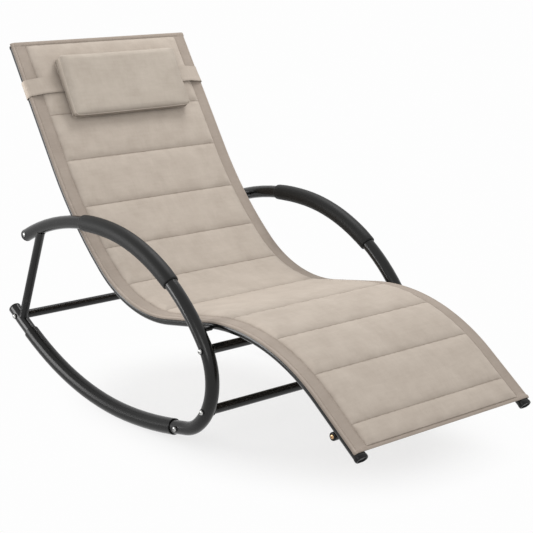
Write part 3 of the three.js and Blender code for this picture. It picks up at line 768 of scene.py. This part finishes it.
def place_bolt(pattern, node, material, y, ending="head"):
    where = middle_of("left_" + node)
    for side in ("left", "right"):
        o = copied(pattern, f"{node}_{side}_{ending}", (where.x, y, where.z))
        if side == "right":
            flipped(o.data)
        finished(o, material, [f"{side}_{node}"])
    print(node, ending, "at", round(where.x, 3), round(where.z, 3))


for node in ("rear_crossbar_bolt", "middle_crossbar_bolt", "lower_crossbar_bolt", "joint_bolt"):
    place_bolt(washer, node, black_plastic, head_y, "washer")
    place_bolt(loop_bolt, node, steel, head_y + WASHER)
place_bolt(small_screw, "arm_cap_screw", steel, head_y)
place_bolt(small_screw, "foot_spreader_screw", brass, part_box("left_foot_spreader_cap")[1].y)
facing_in = copied(rail_bolt, "rail_bolt_in")
facing_in.data.transform(Matrix.Rotation(pi, 4, "X"))
for node in ("front_rail_bolt", "rear_rail_bolt"):
    place_bolt(facing_in, node, steel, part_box("left_seat_rail")[0].y - CLEAR)
for pattern in (washer, loop_bolt, rail_bolt, small_screw, facing_in):
    bpy.data.objects.remove(pattern)

# %% [markdown]
# The seat rails are flat-oval tubes in a long S. A round tube pressed flat has two half rounds and two
# short straights, so the same ring is used with its halves moved apart, and pulled along the rail's line.

# %% Seat rails
RAIL, RAIL_FLAT = 0.010, 0.012


def rail_ring(name, place, direction, grow=0.0):
    return ring(name, place, direction, RAIL + grow, wider=RAIL_FLAT)


def make_rails():
    x, z, heading = spot(rail_line, 0)
    o = rail_ring("seat_rail_left", (x, rail_y, z), heading_vector(heading))
    pull_along(rail_line, rail_y, bend=2.5)
    both_sides(close_up(o), "seat_rail", paint)


make_rails()

# %% [markdown]
# Each rail end wears a plastic cap: a collar a little larger than the rail, a rounded edge and a shallow
# recess. It could be cut from a block, but the collar has the rail's own outline, so the rail's ring is
# pulled outwards and scaled through the list below, and the last step goes back in for the recess.

# %% Rail caps
CAP_STEPS = [(0.0045, 1.0), (0.0066, 0.96), (0.0078, 0.88), (0.0078, 0.72), (0.0055, 0.66)]


def make_rail_cap(name, s, way):
    """A cap on the end at s. way is 1 at the foot and -1 at the head; steps are (distance, share)."""
    x, z, heading = spot(rail_line, s)
    place, out = Vector((x, rail_y, z)), heading_vector(heading) * way
    o = rail_ring(name, place + out * CLEAR, out, 0.0006)
    here, now = CLEAR, 1.0
    for distance, share in CAP_STEPS:
        pull(out, distance - here)
        scale_ring(share / now, place + out * distance)
        here, now = distance, share
    return close_up(o, 40)


for end, s, way in (("foot", rail_length, 1), ("head", 0, -1)):
    cap = make_rail_cap(f"rail_{end}_cap_left", s, way)
    both_sides(cap, f"rail_{end}_cap", black_plastic)

# %% [markdown]
# Short spacers carry the rails on the loops, two on each side. They could get flanges and beads, but they
# lie in shadow, so plain turned lengths are enough. Both ends lie below the surfaces that they meet, so
# that no gap can show.

# %% Rail spacers
SPACER, IN_RAIL = 0.0062, 0.0145
for node in ("front_rail_spacer", "rear_rail_spacer"):
    where = middle_of("left_" + node)
    rings = [(rail_y + IN_RAIL, SPACER), (loop_y - BELOW_SURFACE, SPACER)]
    spacer = turned(node + "_left", (where.x, 0, where.z), (0, 1, 0), rings)
    both_sides(spacer, node, paint)

# %% [markdown]
# Two spreader bars keep the rails apart. The thin one hides behind the head hem. The thicker one runs under
# the rails near the foot, with a plastic cap on each end that a brass screw holds. The cap is turned like
# the others, with a rounded edge and a flat seat for the screw.

# %% Spreader bars
HEAD_BAR, FOOT_BAR = 0.2515, 0.267  # half the length of each bar
rings = from_both_ends(-HEAD_BAR, HEAD_BAR, [(0, 0.0078), (0.0005, 0.008)])
make_bar("head_bar", "head_spreader_bar", rings)
make_bar("foot_bar", "foot_spreader_bar", [(-FOOT_BAR, 0.0095), (FOOT_BAR, 0.0095)])
foot_bar = middle_of("foot_spreader_bar")
rings = [(0.2555, 0.0078), (0.2672, 0.0078), (0.2673, 0.0092), (0.2677, 0.0095), (0.2697, 0.0095)]
rings += [(0.2709, 0.0090), (0.2713, 0.0081), (0.2713, 0.0056), (0.2708, 0.0052)]
foot_cap = turned("foot_spreader_cap_left", (foot_bar.x, 0, foot_bar.z), (0, 1, 0), rings, smooth=45)
both_sides(foot_cap, "foot_spreader_cap", black_plastic)

# %% [markdown]
# The sling is cloth that bends along the rails and laps round them. It could be modelled in its bent form,
# but seams and weave are straight only while it lies flat, as it is cut. So cloth is laid out flat here:
# the first number runs along the rails from the head end, the second across, the third above the cloth's
# middle. One function, wrap, then lays any flat place over the rails.

# %% Laying cloth on the rails
CLOTH = 0.0113  # the cloth's middle above the rails' centreline
EDGE = 0.265  # where the cloth starts to bend down over a rail
SEAMS = [0.125, 0.205, 0.2875, 0.3667, 0.4445, 0.5437, 0.7006, 0.791, 0.8713, 0.9567]
HEAD, FOOT = -0.010, rail_length - 0.005
HEAD_HEM, FOOT_HEM = 0.012, 0.0078
seam_lines = [HEAD + HEAD_HEM] + [share * rail_length for share in SEAMS] + [FOOT - FOOT_HEM]


def wrap(s, across, height):
    x, z, heading = spot(rail_line, s)
    side = 1 if across >= 0 else -1
    over = abs(across) - EDGE
    y, up = across, CLOTH + height
    if over > 0:
        angle = over / CLOTH
        y, up = side * (EDGE + (CLOTH + height) * sin(angle)), (CLOTH + height) * cos(angle)
    return Vector((x - up * sin(heading), y, z + up * cos(heading)))


print("seams at", [round(line, 3) for line in seam_lines])

# %% [markdown]
# Flat cloth starts as a grid. An even grid would need very many faces to show a thin seam, so rows and
# columns are put where the cloth needs them: close beside hems and seams, and wide elsewhere. The flat
# places are kept in an attribute before the cloth is bent, because the weave is drawn on them.

# %% Flat cloth
def spaced(start, end, pitch):
    count = max(1, round((end - start) / pitch))
    return [start + (end - start) * k / count for k in range(count + 1)]


def mirrored(half):
    return [-u for u in reversed(half[1:])] + half


def flat_grid(name, along, across):
    """A flat piece of cloth with its rows and columns at the given places."""
    rows, columns = len(along) - 1, len(across) - 1
    o = started(name, bpy.ops.mesh.primitive_grid_add, x_subdivisions=rows, y_subdivisions=columns, size=1)
    for v in o.data.vertices:
        i, j = round((v.co.x + 0.5) * rows), round((v.co.y + 0.5) * columns)
        v.co = (along[i], across[j], 0)
    return o


def keep_flat(mesh, places):
    layer = mesh.attributes.new("flat", "FLOAT_VECTOR", "POINT")
    for value, place in zip(layer.data, places):
        value.vector = place


# Stores how much painted shade the cloth gets at each point.
def keep_painted_shade(mesh, shares):
    layer = mesh.attributes.new("painted_shade", "FLOAT", "POINT")
    for value, share in zip(layer.data, shares):
        value.value = share


def faces_out(o, smooth=None):
    """Turns the faces outwards and smooths the piece, everywhere or only over angles below `smooth`."""
    edit(o)
    bpy.ops.mesh.normals_make_consistent(inside=False)
    leave()
    if smooth:
        bpy.ops.object.shade_smooth_by_angle(angle=radians(smooth))
    else:
        bpy.ops.object.shade_smooth()


# %% [markdown]
# The base cloth is one flat sheet, doubled along its sides and ends. It carries the sitter, so on the real
# chair it is stretched tight between the rails. A cloth simulation would find that same plain surface, so
# none is run: the sheet is laid by the formula, and only its hems, its side seams and the thick lapped
# edge are raised or sunk a little.

# %% Base cloth
LAP = radians(60) * CLOTH
HEAD_ROLL, FOOT_ROLL = 0.0096, 0.0076  # how far in the rolled ends reach


def base_height(s, u, h):
    """How much the cloth's front (h above 0) or back is moved at a flat place."""
    lift = 0.0
    if h > 0:
        lapped = min(1.0, max(0.0, (abs(u) - SIDE_SEAM - 0.0003) / 0.0016)) ** 0.5
        groove = max(0.0, 1 - abs(abs(u) - SIDE_SEAM) / 0.0011)
        lift = 0.0007 * lapped - 0.0006 * groove
    from_end = min((s - HEAD) / HEAD_ROLL, (FOOT - s) / FOOT_ROLL)
    if from_end < 1:
        roll = sin(pi * max(0.0, from_end)) ** 0.5
        lift += (0.0006 + 0.0011 * roll) * (1 if h > 0 else -0.6)
    return lift


half = spaced(0, 0.2, 0.02) + [0.215, 0.226, 0.232, 0.238, 0.243, 0.249, 0.255, 0.2605]
half += [EDGE, 0.2663, 0.2674, 0.2681, 0.2687, 0.2693, 0.2700, 0.2711, 0.2725, 0.2742, 0.2758, EDGE + LAP]
along = [HEAD, HEAD + 0.0015, HEAD + 0.004, HEAD + 0.008, HEAD + 0.0114, HEAD + 0.0122]
along += spaced(HEAD + 0.02, FOOT - 0.016, 0.009)
along += [FOOT - inset for inset in (0.0082, 0.0075, 0.006, 0.0042, 0.0024, 0.0009, 0)]
base = modified(flat_grid("sling_base", along, mirrored(half)), "SOLIDIFY", thickness=0.002, offset=0)
keep_flat(base.data, [v.co.copy() for v in base.data.vertices])
for v in base.data.vertices:
    v.co = wrap(v.co.x, v.co.y, v.co.z + base_height(*v.co))
faces_out(base, 50)
finished(base, side_cloth, ["padded_sling"])
FOOT - HEAD
print("base cloth", len(base.data.polygons), "faces")
print("flat", round(2 * (EDGE + LAP), 3), "by", round(FOOT - HEAD, 3))

# %% [markdown]
# The pad is a front and a back panel, sewn together on cross seams and along both sides, with filling in
# the channels between. First the full shape of a channel is drawn: none at a seam, steep beside it and
# round in the middle. Sculpting it would be slower and less even than two short formulas.

# %% The drawn shape of the pad
PAD = 0.238  # from the middle to the pad's side
SEAM, FRONT, BACK = 0.0017, 0.0082, 0.0046  # how high its seams and its front stand, and how deep its back
PANEL = 0.0014  # half the thickness of the two panels where they are sewn


def channel_rows(a, b):
    """Rows from one seam to the next, closer together beside the seams."""
    near = [0.0006, 0.0015, 0.0028, 0.0046, 0.0070, 0.0100, 0.0135]
    middle = spaced(a + 0.0185, b - 0.0185, 0.008)
    return [a + d for d in near] + middle + [b - d for d in reversed(near)] + [b]


def from_side(u, width):
    """Zero on a side of the pad, and one from `width` inwards."""
    return min(1.0, max(0.0, PAD - abs(u)) / width)


def side_rise(u):
    return (1 - (1 - from_side(u, 0.012)) ** 2.2) ** 0.8


def fullness(s, u):
    """How full a channel is drawn at a place: none on a seam or a side, one in the middle."""
    inside = [(a, b) for a, b in zip(seam_lines, seam_lines[1:]) if a <= s <= b]
    if not inside:
        return 0.0
    a, b = inside[0]
    edge = min(1.0, min(s - a, b - s) / 0.017)
    crown = 0.72 * (1 - (1 - edge) ** 2) ** 0.85 + 0.28 * sin(pi * (s - a) / (b - a))
    return crown * (1 - (1 - from_side(u, 0.022)) ** 2)


def drawn_height(s, u, h):
    full = fullness(s, u)
    if h > 0:
        return PANEL + SEAM * side_rise(u) + (FRONT - SEAM) * 0.92 * full
    return -PANEL - BACK * min(1.0, max(0.0, (s - 0.022) / 0.03)) * full


# %% [markdown]
# Drawn shapes are too smooth for sewn cloth, which puckers along its seams. Puckers could be painted as a
# bump, but then they have no outline. Blender's cloth simulation makes them: the pad lies flat, its seams
# are held, the cloth gets some slack, and pressure blows it up for a few frames.

# %% Blowing cloth up
def blow_up(o, pressure, slack, frames):
    cloth = o.modifiers.new("cloth", "CLOTH")
    settings = cloth.settings
    settings.use_pressure = True
    settings.uniform_pressure_force = pressure
    settings.effector_weights.gravity = 0
    settings.shrink_min = -slack
    settings.vertex_group_mass = "held"
    settings.quality = 6
    settings.tension_stiffness = 12
    settings.compression_stiffness = 12
    settings.bending_stiffness = 0.3
    cloth.collision_settings.use_collision = False
    cloth.point_cache.frame_start, cloth.point_cache.frame_end = 1, frames
    for number in range(1, frames + 1):
        bpy.context.scene.frame_set(number)
    only(o)
    bpy.ops.object.modifier_apply(modifier="cloth")
    bpy.context.scene.frame_set(1)


# %% [markdown]
# The pad is blown up flat. Only a share of each move is kept, which leaves the puckers and takes the
# balloon away, and the heights are kept between the panels and the real crown. Shade is painted into the
# cloth's colour in the seams, along the pad's sides and on the lower side of each channel, and then the pad
# is laid on the rails.

# %% Quilted pad
def make_flat_pad():
    along = [seam_lines[0]]
    for line, following in zip(seam_lines, seam_lines[1:]):
        along += channel_rows(line, following)
    half = spaced(0, 0.216, 0.008) + [0.222, 0.227, 0.231, 0.234, 0.236, PAD]
    o = modified(flat_grid("quilted_pad", along, mirrored(half)), "SOLIDIFY", thickness=0.003, offset=0)
    held = o.vertex_groups.new(name="held")
    for v in o.data.vertices:
        on_seam = min(abs(v.co.x - line) for line in seam_lines) < 1e-5
        if on_seam or abs(v.co.y) > PAD - 1e-5:
            held.add([v.index], 1.0, "REPLACE")
    return o


def puckered(v, start, front):
    """The drawn place with a share of what the simulation moved it."""
    move = v - start
    if move.length > 0.004:
        move = move * (0.004 / move.length)
    x, y, z = start + Vector((move.x * 0.6, move.y * 0.6, move.z * 0.4))
    if front:
        return x, y, min(max(z, PANEL - 0.0001), PANEL + 0.0001 + FRONT)
    return x, y, max(min(z, -0.0012), -0.0012 - BACK)


# Painted shade: dark in the seams, softer along the pad's sides, and a broad band on the lower part of each
# channel, which curves away from the light.
def pad_painted_shade(s, u):
    on_seam = 1 - min(abs(s - line) for line in seam_lines) / 0.0026
    on_side = 0.45 * (1 - (PAD - abs(u)) / 0.0045)
    below = min((line - s for line in seam_lines if line >= s - 1e-6), default=1.0)
    falling = 0.3 * max(0.0, 1 - below / 0.024) ** 2
    return max(0.0, on_seam, on_side, falling)


def make_pad():
    o = make_flat_pad()
    flat = [v.co.copy() for v in o.data.vertices]
    keep_flat(o.data, flat)
    for v in o.data.vertices:
        v.co.z = drawn_height(*v.co)
    drawn = [v.co.copy() for v in o.data.vertices]
    blow_up(o, pressure=1.2, slack=0.015, frames=20)
    most = max((v.co - start).length for v, start in zip(o.data.vertices, drawn))
    print("pad moved at most", round(most, 4))
    for v, was, start in zip(o.data.vertices, flat, drawn):
        v.co = wrap(*puckered(v.co, start, was.z > 0))
    # Painted shade for the pad's cloth colour.
    keep_painted_shade(o.data, [pad_painted_shade(was.x, was.y) for was in flat])
    faces_out(o, 50)
    finished(o, pad_cloth, ["padded_sling"])
    print("pad", len(o.data.polygons), "faces")


make_pad()

# %% [markdown]
# Seams and hems are held by rows of small stitches, over two thousand of them. They could be drawn by the
# material, but they catch the light as little bars. One stitch is made from a six-sided cylinder, and a
# loop writes it along each flat path and lays it on the rails. Six sides are enough for so small a thing.

# %% Stitches
PITCH = 0.0052  # from one stitch to the next
SIDE_ROW, HEM_ROW, END_ROW = 0.2405, 0.2668, 0.25  # how far from the middle the rows lie or end


def stitch_shape():
    size = {"vertices": 6, "radius": 0.00045, "depth": 0.0036}
    o = started("stitch", bpy.ops.mesh.primitive_cylinder_add, **size, rotation=(0, pi / 2, 0))
    bpy.ops.object.transform_apply(location=False, rotation=True, scale=False)
    for v in o.data.vertices:
        v.co.z *= 0.7
    return o


def sew(name, paths):
    """Stitches along flat paths: each is (start, end, height) with start and end as (s, across)."""
    pattern = stitch_shape()
    points, stitches = [], 0
    for (s0, u0), (s1, u1), height in paths:
        run = hypot(s1 - s0, u1 - u0)
        ds, du = (s1 - s0) / run, (u1 - u0) / run
        count = int(run / PITCH)
        for k in range(count):
            share = (k + 0.5) / count
            s, u = s0 + (s1 - s0) * share, u0 + (u1 - u0) * share
            for x, y, z in (v.co for v in pattern.data.vertices):
                points.append(wrap(s + x * ds - y * du, u + x * du + y * ds, height + z))
        stitches += count
    corners = len(pattern.data.vertices)
    shape = [tuple(face.vertices) for face in pattern.data.polygons]
    faces = [tuple(corner + corners * k for corner in face) for k in range(stitches) for face in shape]
    mesh = bpy.data.meshes.new(name)
    mesh.from_pydata([tuple(point) for point in points], [], faces)
    o = bpy.data.objects.new(name, mesh)
    bpy.context.scene.collection.objects.link(o)
    keep_flat(mesh, points)
    bpy.data.objects.remove(pattern)
    finished(o, thread_cloth)
    print(name, stitches)


seam_paths = [((line, -PAD + 0.008), (line, PAD - 0.008), 0.0034) for line in seam_lines[1:-1]]
side_paths = [((HEAD + 0.014, side * SIDE_ROW), (FOOT - 0.012, side * SIDE_ROW), 0.0012) for side in (-1, 1)]
hem_paths = [((HEAD + 0.012, side * HEM_ROW), (FOOT - 0.012, side * HEM_ROW), 0.0012) for side in (-1, 1)]
hem_paths += [((s, -END_ROW), (s, END_ROW), 0.0025) for s in (HEAD + 0.0085, FOOT - 0.0066)]
sew("seam_stitches", seam_paths)
sew("side_stitches", side_paths)
sew("hem_stitches", hem_paths)

# %% [markdown]
# The pillow is a boxy cushion with narrow side panels, thicker at the top than at the bottom. A rounded
# box alone looks like soap. So a box is bevelled, remeshed evenly and blown up like the pad, and then
# brought back to its real size. Its corners are rounded in plan by a small formula, since a bevel that is
# wide enough there would eat the thin side panels.

# %% Pillow shape
pillow_from_head, pillow_back = 0.136, 0.0237
ALONG, WIDE, THICK, THIN = 0.168, 0.370, 0.040, 0.022
PLAN_CORNER = 0.0115
middle_x, middle_z, back_heading = spot(rail_line, pillow_from_head)


def on_back(a, across, height):
    """A place on the straight upper back: a along it from the pillow's middle, height above its back."""
    up = pillow_back + height
    x = middle_x + a * cos(back_heading) - up * sin(back_heading)
    z = middle_z + a * sin(back_heading) + up * cos(back_heading)
    return Vector((x, across, z))


def thickness_at(a):
    return THICK + (THIN - THICK) * (a / ALONG + 0.5)


def round_plan(a, y):
    """Turns the square plan corner that a place lies in into a round one of PLAN_CORNER."""
    centre_a, centre_y = ALONG / 2 - PLAN_CORNER, WIDE / 2 - PLAN_CORNER
    da, dy = abs(a) - centre_a, abs(y) - centre_y
    if da <= 0 or dy <= 0:
        return a, y
    share = max(da, dy) / hypot(da, dy)
    return copysign(centre_a + da * share, a), copysign(centre_y + dy * share, y)


def make_cushion():
    o = started("headrest_pillow", bpy.ops.mesh.primitive_cube_add, size=1)
    for v in o.data.vertices:
        v.co = (v.co.x * ALONG * 0.96, v.co.y * WIDE * 0.98, v.co.z * THICK * 0.86)
    modified(o, "BEVEL", width=0.0045, segments=4)
    modified(o, "REMESH", mode="VOXEL", voxel_size=0.003)
    o.vertex_groups.new(name="held")
    start = [v.co.copy() for v in o.data.vertices]
    blow_up(o, pressure=2.5, slack=0.006, frames=12)
    for v, was in zip(o.data.vertices, start):
        move = v.co - was
        if move.length > 0.003:
            v.co = was + move * (0.003 / move.length)
    return o


def to_real_size(o):
    low = Vector([min(v.co[k] for v in o.data.vertices) for k in range(3)])
    high = Vector([max(v.co[k] for v in o.data.vertices) for k in range(3)])
    print("pillow blown to", [round(c, 4) for c in high - low])
    for v in o.data.vertices:
        share = [(v.co[k] - low[k]) / (high[k] - low[k]) for k in range(3)]
        a, y = (share[0] - 0.5) * ALONG, (share[1] - 0.5) * WIDE
        v.co = (*round_plan(a, y), share[2] * (thickness_at(a) - 0.001) + 0.0005)


cushion = make_cushion()
to_real_size(cushion)
modified(cushion, "SUBSURF", levels=1, render_levels=1)
print("cushion", len(cushion.data.polygons), "faces")

# %% [markdown]
# A sewn ridge runs round the front and the back of the pillow, where its panels meet. A torus has the
# right number of faces in the right order, so it is used as it comes, and each of its rings is put on a
# path that follows the pillow's outline. The path is dropped on the cushion with rays and then evened out.

# %% Pillow ridges
RIDGE, RIDGE_INSET, RIDGE_SIDES = 0.0009, 0.0024, 8


def ridge_path():
    """The plan of a ridge: four round corners, with places every few millimetres between them."""
    corner = PLAN_CORNER - RIDGE_INSET
    centre_a, centre_y = ALONG / 2 - PLAN_CORNER, WIDE / 2 - PLAN_CORNER
    path = []
    for ca, cy, start in ((1, 1, 0), (-1, 1, 90), (-1, -1, 180), (1, -1, 270)):
        for angle in (radians(start + 15 * k) for k in range(7)):
            path.append((ca * centre_a + corner * cos(angle), cy * centre_y + corner * sin(angle)))
    dense = []
    for (a, y), (b, z) in zip(path, path[1:] + path[:1]):
        count = max(1, round(hypot(b - a, z - y) / 0.004))
        dense += [(a + (b - a) * k / count, y + (z - y) * k / count) for k in range(count)]
    return dense


def dropped(path, pillow, side):
    """The path on the front (side 1) or the back (side -1) of the pillow, with its heights evened out."""
    places = []
    bpy.context.view_layer.update()
    for a, y in path:
        hit, where, normal, index = pillow.ray_cast(Vector((a, y, 0.2 * side)), Vector((0, 0, -side)))
        places.append(where.copy() if hit else Vector((a, y, THICK * 0.3 * (1 + side))))
    for turn in range(6):
        around = zip(places[-1:] + places[:-1], places, places[1:] + places[:1])
        heights = [(before.z + here.z + after.z) / 3 for before, here, after in around]
        for place, height in zip(places, heights):
            place.z = height
    return places


def make_ridge(name, pillow, side):
    places = dropped(ridge_path(), pillow, side)
    segments = {"major_segments": len(places), "minor_segments": RIDGE_SIDES}
    o = started(name, bpy.ops.mesh.primitive_torus_add, **segments, major_radius=1, minor_radius=0.1)
    flat = []
    for v in o.data.vertices:
        k, j = divmod(v.index, RIDGE_SIDES)
        along = (places[(k + 1) % len(places)] - places[k - 1]).normalized()
        out = along.cross(Vector((0, 0, 1))).normalized()
        up = out.cross(along).normalized()
        angle = 2 * pi * j / RIDGE_SIDES
        flat.append(places[k] + out * RIDGE * cos(angle) + up * RIDGE * sin(angle))
        v.co = on_back(*flat[-1])
    keep_flat(o.data, flat)
    faces_out(o)
    return o


ridges = [make_ridge("pillow_welt_front", cushion, 1), make_ridge("pillow_welt_back", cushion, -1)]
print("each ridge", len(ridges[0].data.polygons), "faces")

# %% [markdown]
# The pillow slides on the back, so it rides on the headrest's body and not on the frame. Before it is laid
# there, shade is painted where its cloth turns away from the light: the lower edge, the side panels near
# the sling, and a soft band inside its outline.

# %% Finished pillow
# Painted shade: darker on the lower edge, on the side panels near the back, and in a soft band inside the
# outline.
def pillow_painted_shade(a, y, height):
    low_side = max(0.0, 1 - (ALONG / 2 - a) / 0.012)
    on_rim = abs(y) > WIDE / 2 - 0.005 or ALONG / 2 - a < 0.005
    near_back = max(0.0, 1 - height / (thickness_at(a) * 0.75)) if on_rim else 0.0
    inwards = min(WIDE / 2 - abs(y), ALONG / 2 - a)
    round_off = 0.3 * max(0.0, 1 - inwards / 0.035) ** 2
    return min(1.0, 0.8 * low_side ** 1.5 + near_back + round_off)


lying = [v.co.copy() for v in cushion.data.vertices]
keep_flat(cushion.data, lying)
keep_painted_shade(cushion.data, [pillow_painted_shade(*place) for place in lying])
for v, place in zip(cushion.data.vertices, lying):
    v.co = on_back(*place)
faces_out(cushion)
finished(cushion, pillow_cloth, ["pillow"], "headrest")
for ridge in ridges:
    finished(ridge, pillow_cloth, body="headrest")
print("pillow", len(cushion.data.polygons), "faces on the headrest")

# %% [markdown]
# The elastic band is a loop: over the pad, down beside it, round both rails and straight back behind the
# sling. A simulation could pull it tight, but a taut band takes the shortest way, and that is easy to
# write. Its outline is listed for one half and mirrored, and pulled along the back to the band's width.

# %% Band outline
BAND, BAND_WIDTH, band_from_head = 0.0016, 0.046, 0.119
BESIDE_PAD = 0.2305  # where the band leaves the pad
BAND_GAP = 0.0005


def band_outline():
    """Places (across, height) round the whole loop, at the middle of the band's thickness."""
    above, below, top = (height + BAND_GAP + BAND / 2 for height in (CLOTH + 0.001, 0.010, 0.0213))
    half = [(u, top) for u in spaced(0, BESIDE_PAD, 0.016)]
    half += [(BESIDE_PAD + (EDGE - BESIDE_PAD) * k / 4, top - (top - above) * k / 4) for k in (1, 2, 3)]
    over, under = [radians(a) for a in range(0, 61, 10)], [radians(a) for a in range(0, 91, 10)]
    half += [(EDGE + above * sin(a), above * cos(a)) for a in over]
    half += [(EDGE + below * cos(a), -below * sin(a)) for a in under]
    half += [(u, -below) for u in reversed(spaced(0, 0.256, 0.016))]
    other = [(-u, h) for u, h in reversed(half)]
    return half + other[1:-1]


band_path = band_outline()
print("band outline of", len(band_path), "places")

# %% [markdown]
# The band is pulled out in eight steps, so that its lower edge can stand off a little, as elastic does
# between a pillow and a back. That edge gets painted shade for the thin shadow it throws. Solidify
# gives the band its thickness at the end.

# %% Band
BAND_STEPS = 8


def make_band():
    o = started("elastic_band", bpy.ops.mesh.primitive_circle_add, vertices=len(band_path), radius=1)
    run, runs = 0.0, []
    for k, (u, h) in enumerate(band_path):
        run += hypot(u - band_path[k - 1][0], h - band_path[k - 1][1]) if k else 0
        runs.append(run)
    (first_u, first_h), (last_u, last_h) = band_path[0], band_path[-1]
    around = run + hypot(last_u - first_u, last_h - first_h)
    x, z, heading = spot(rail_line, band_from_head)
    along, up = heading_vector(heading), Vector((-sin(heading), 0, cos(heading)))
    for v, (u, h) in zip(o.data.vertices, band_path):
        v.co = Vector((x, u, z)) + up * h - along * (BAND_WIDTH / 2)
    edit(o)
    for k in range(BAND_STEPS):
        pull(along, BAND_WIDTH / BAND_STEPS)
    leave()
    spots = [divmod(k, len(band_path)) for k in range(len(o.data.vertices))]
    keep_flat(o.data, [(runs[place], row * BAND_WIDTH / BAND_STEPS, 0) for row, place in spots])
    # Painted shade along the band's lower edge.
    keep_painted_shade(o.data, [0.6 if row == BAND_STEPS else 0.0 for row, place in spots])
    for v, (row, place) in zip(o.data.vertices, spots):
        if band_path[place][1] > 0:
            v.co += up * 0.0026 * (row / BAND_STEPS) ** 2
    modified(o, "SOLIDIFY", thickness=BAND, offset=0)
    faces_out(o, 50)
    finished(o, strap_cloth, ["pillow_band"], "headrest")
    print("band", len(o.data.polygons), "faces, around", round(around, 3))


make_band()

# %% [markdown]
# The chair stands on a white studio floor that fades into a white backdrop. More light would make a floor
# white, but it would bleach the chair as well. So reflections see plain white. The camera sees it too,
# away from the chair, and near the chair a mix that lets part of the real shadow through. An oval on the
# floor fades from one to the other.

# %% Floor
WHITE = (0.985, 0.985, 0.985, 1)
OVAL_X, OVAL_Y, OVAL_MIDDLE = 0.62, 0.42, 0.08
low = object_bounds()[0]
floor = started("studio_floor", bpy.ops.mesh.primitive_plane_add, size=400, location=(0, 0, low.z - 0.0002))
ground = Finish("studio_floor")
ground.set(Base_Color=(0.85, 0.85, 0.85, 1), Roughness=0.9, Specular_IOR_Level=0.0)
stretch = {0: ground.place(), 1: (1 / OVAL_X, 1 / OVAL_Y, 0), 2: (-OVAL_MIDDLE / OVAL_X, 0, 0)}
oval = ground.node("VectorMath", {"operation": "MULTIPLY_ADD"}, stretch)
far = ground.node("VectorMath", {"operation": "LENGTH"}, {0: oval}, "Value").between(0.62, 1.12)
far = far * far * (3 - 2 * far)
plain_white = ground.ray("Camera") * (0.73 + far * 0.27) + ground.ray("Glossy", "Transmission")
white = ground.node("Emission", None, {"Color": WHITE})
lit = Value(ground, ground.surface.outputs[0])
blend = ground.node("MixShader", None, {0: plain_white.clamped(), 1: lit, 2: white})
ground.feed(ground.tree.nodes["Material Output"].inputs["Surface"], blend)
floor.data.materials.append(ground.owner)
print("floor at", round(low.z - 0.0002, 4))

# %% [markdown]
# The world is both the backdrop and the soft light from all sides. One strength for both would tie the
# light to the white. Two backgrounds are mixed instead: the dimmer one lights the chair, and the white
# one is what the camera and the reflections see.

# %% World
sky = Finish("studio", world=True)
bpy.context.scene.world = sky.owner
light = sky.node("Background", None, {"Color": (1, 1, 1, 1), "Strength": 0.83})
backdrop = sky.node("Background", None, {"Color": WHITE})
choice = sky.node("MixShader", None, {0: sky.ray("Camera", "Glossy", "Transmission"), 1: light, 2: backdrop})
sky.feed(sky.tree.nodes["World Output"].inputs["Surface"], choice)
print("world", sky.owner.name)

# %% [markdown]
# The photograph has soft shadows and long pale highlights on the tubes, as from large soft boxes. Small
# lamps would give hard lines. Three wide area lamps do it: one above and behind for the seat, a weak one
# in front, and a tall one low on the near side, which draws the highlights along the loops.

# %% Lamps
AIM = Vector((0, 0, 0.3))  # the place in the chair that every lamp looks at


def lamp(name, place, width, height, energy):
    data = bpy.data.lights.new(name, "AREA")
    data.shape, data.size, data.size_y, data.energy = "RECTANGLE", width, height, energy
    o = bpy.data.objects.new(name, data)
    bpy.context.scene.collection.objects.link(o)
    o.location = place
    o.rotation_euler = (AIM - Vector(place)).to_track_quat("-Z", "Y").to_euler()
    print("lamp", name, energy, "W")


lamp("top", (-0.5, 0.9, 2.6), 1.0, 1.0, 29)
lamp("front", (1.6, -2.6, 1.6), 1.2, 1.2, 15)
lamp("side", (-1.55, -2.3, 0.75), 0.9, 1.6, 42)
bpy.context.scene.view_settings.view_transform = "Standard"
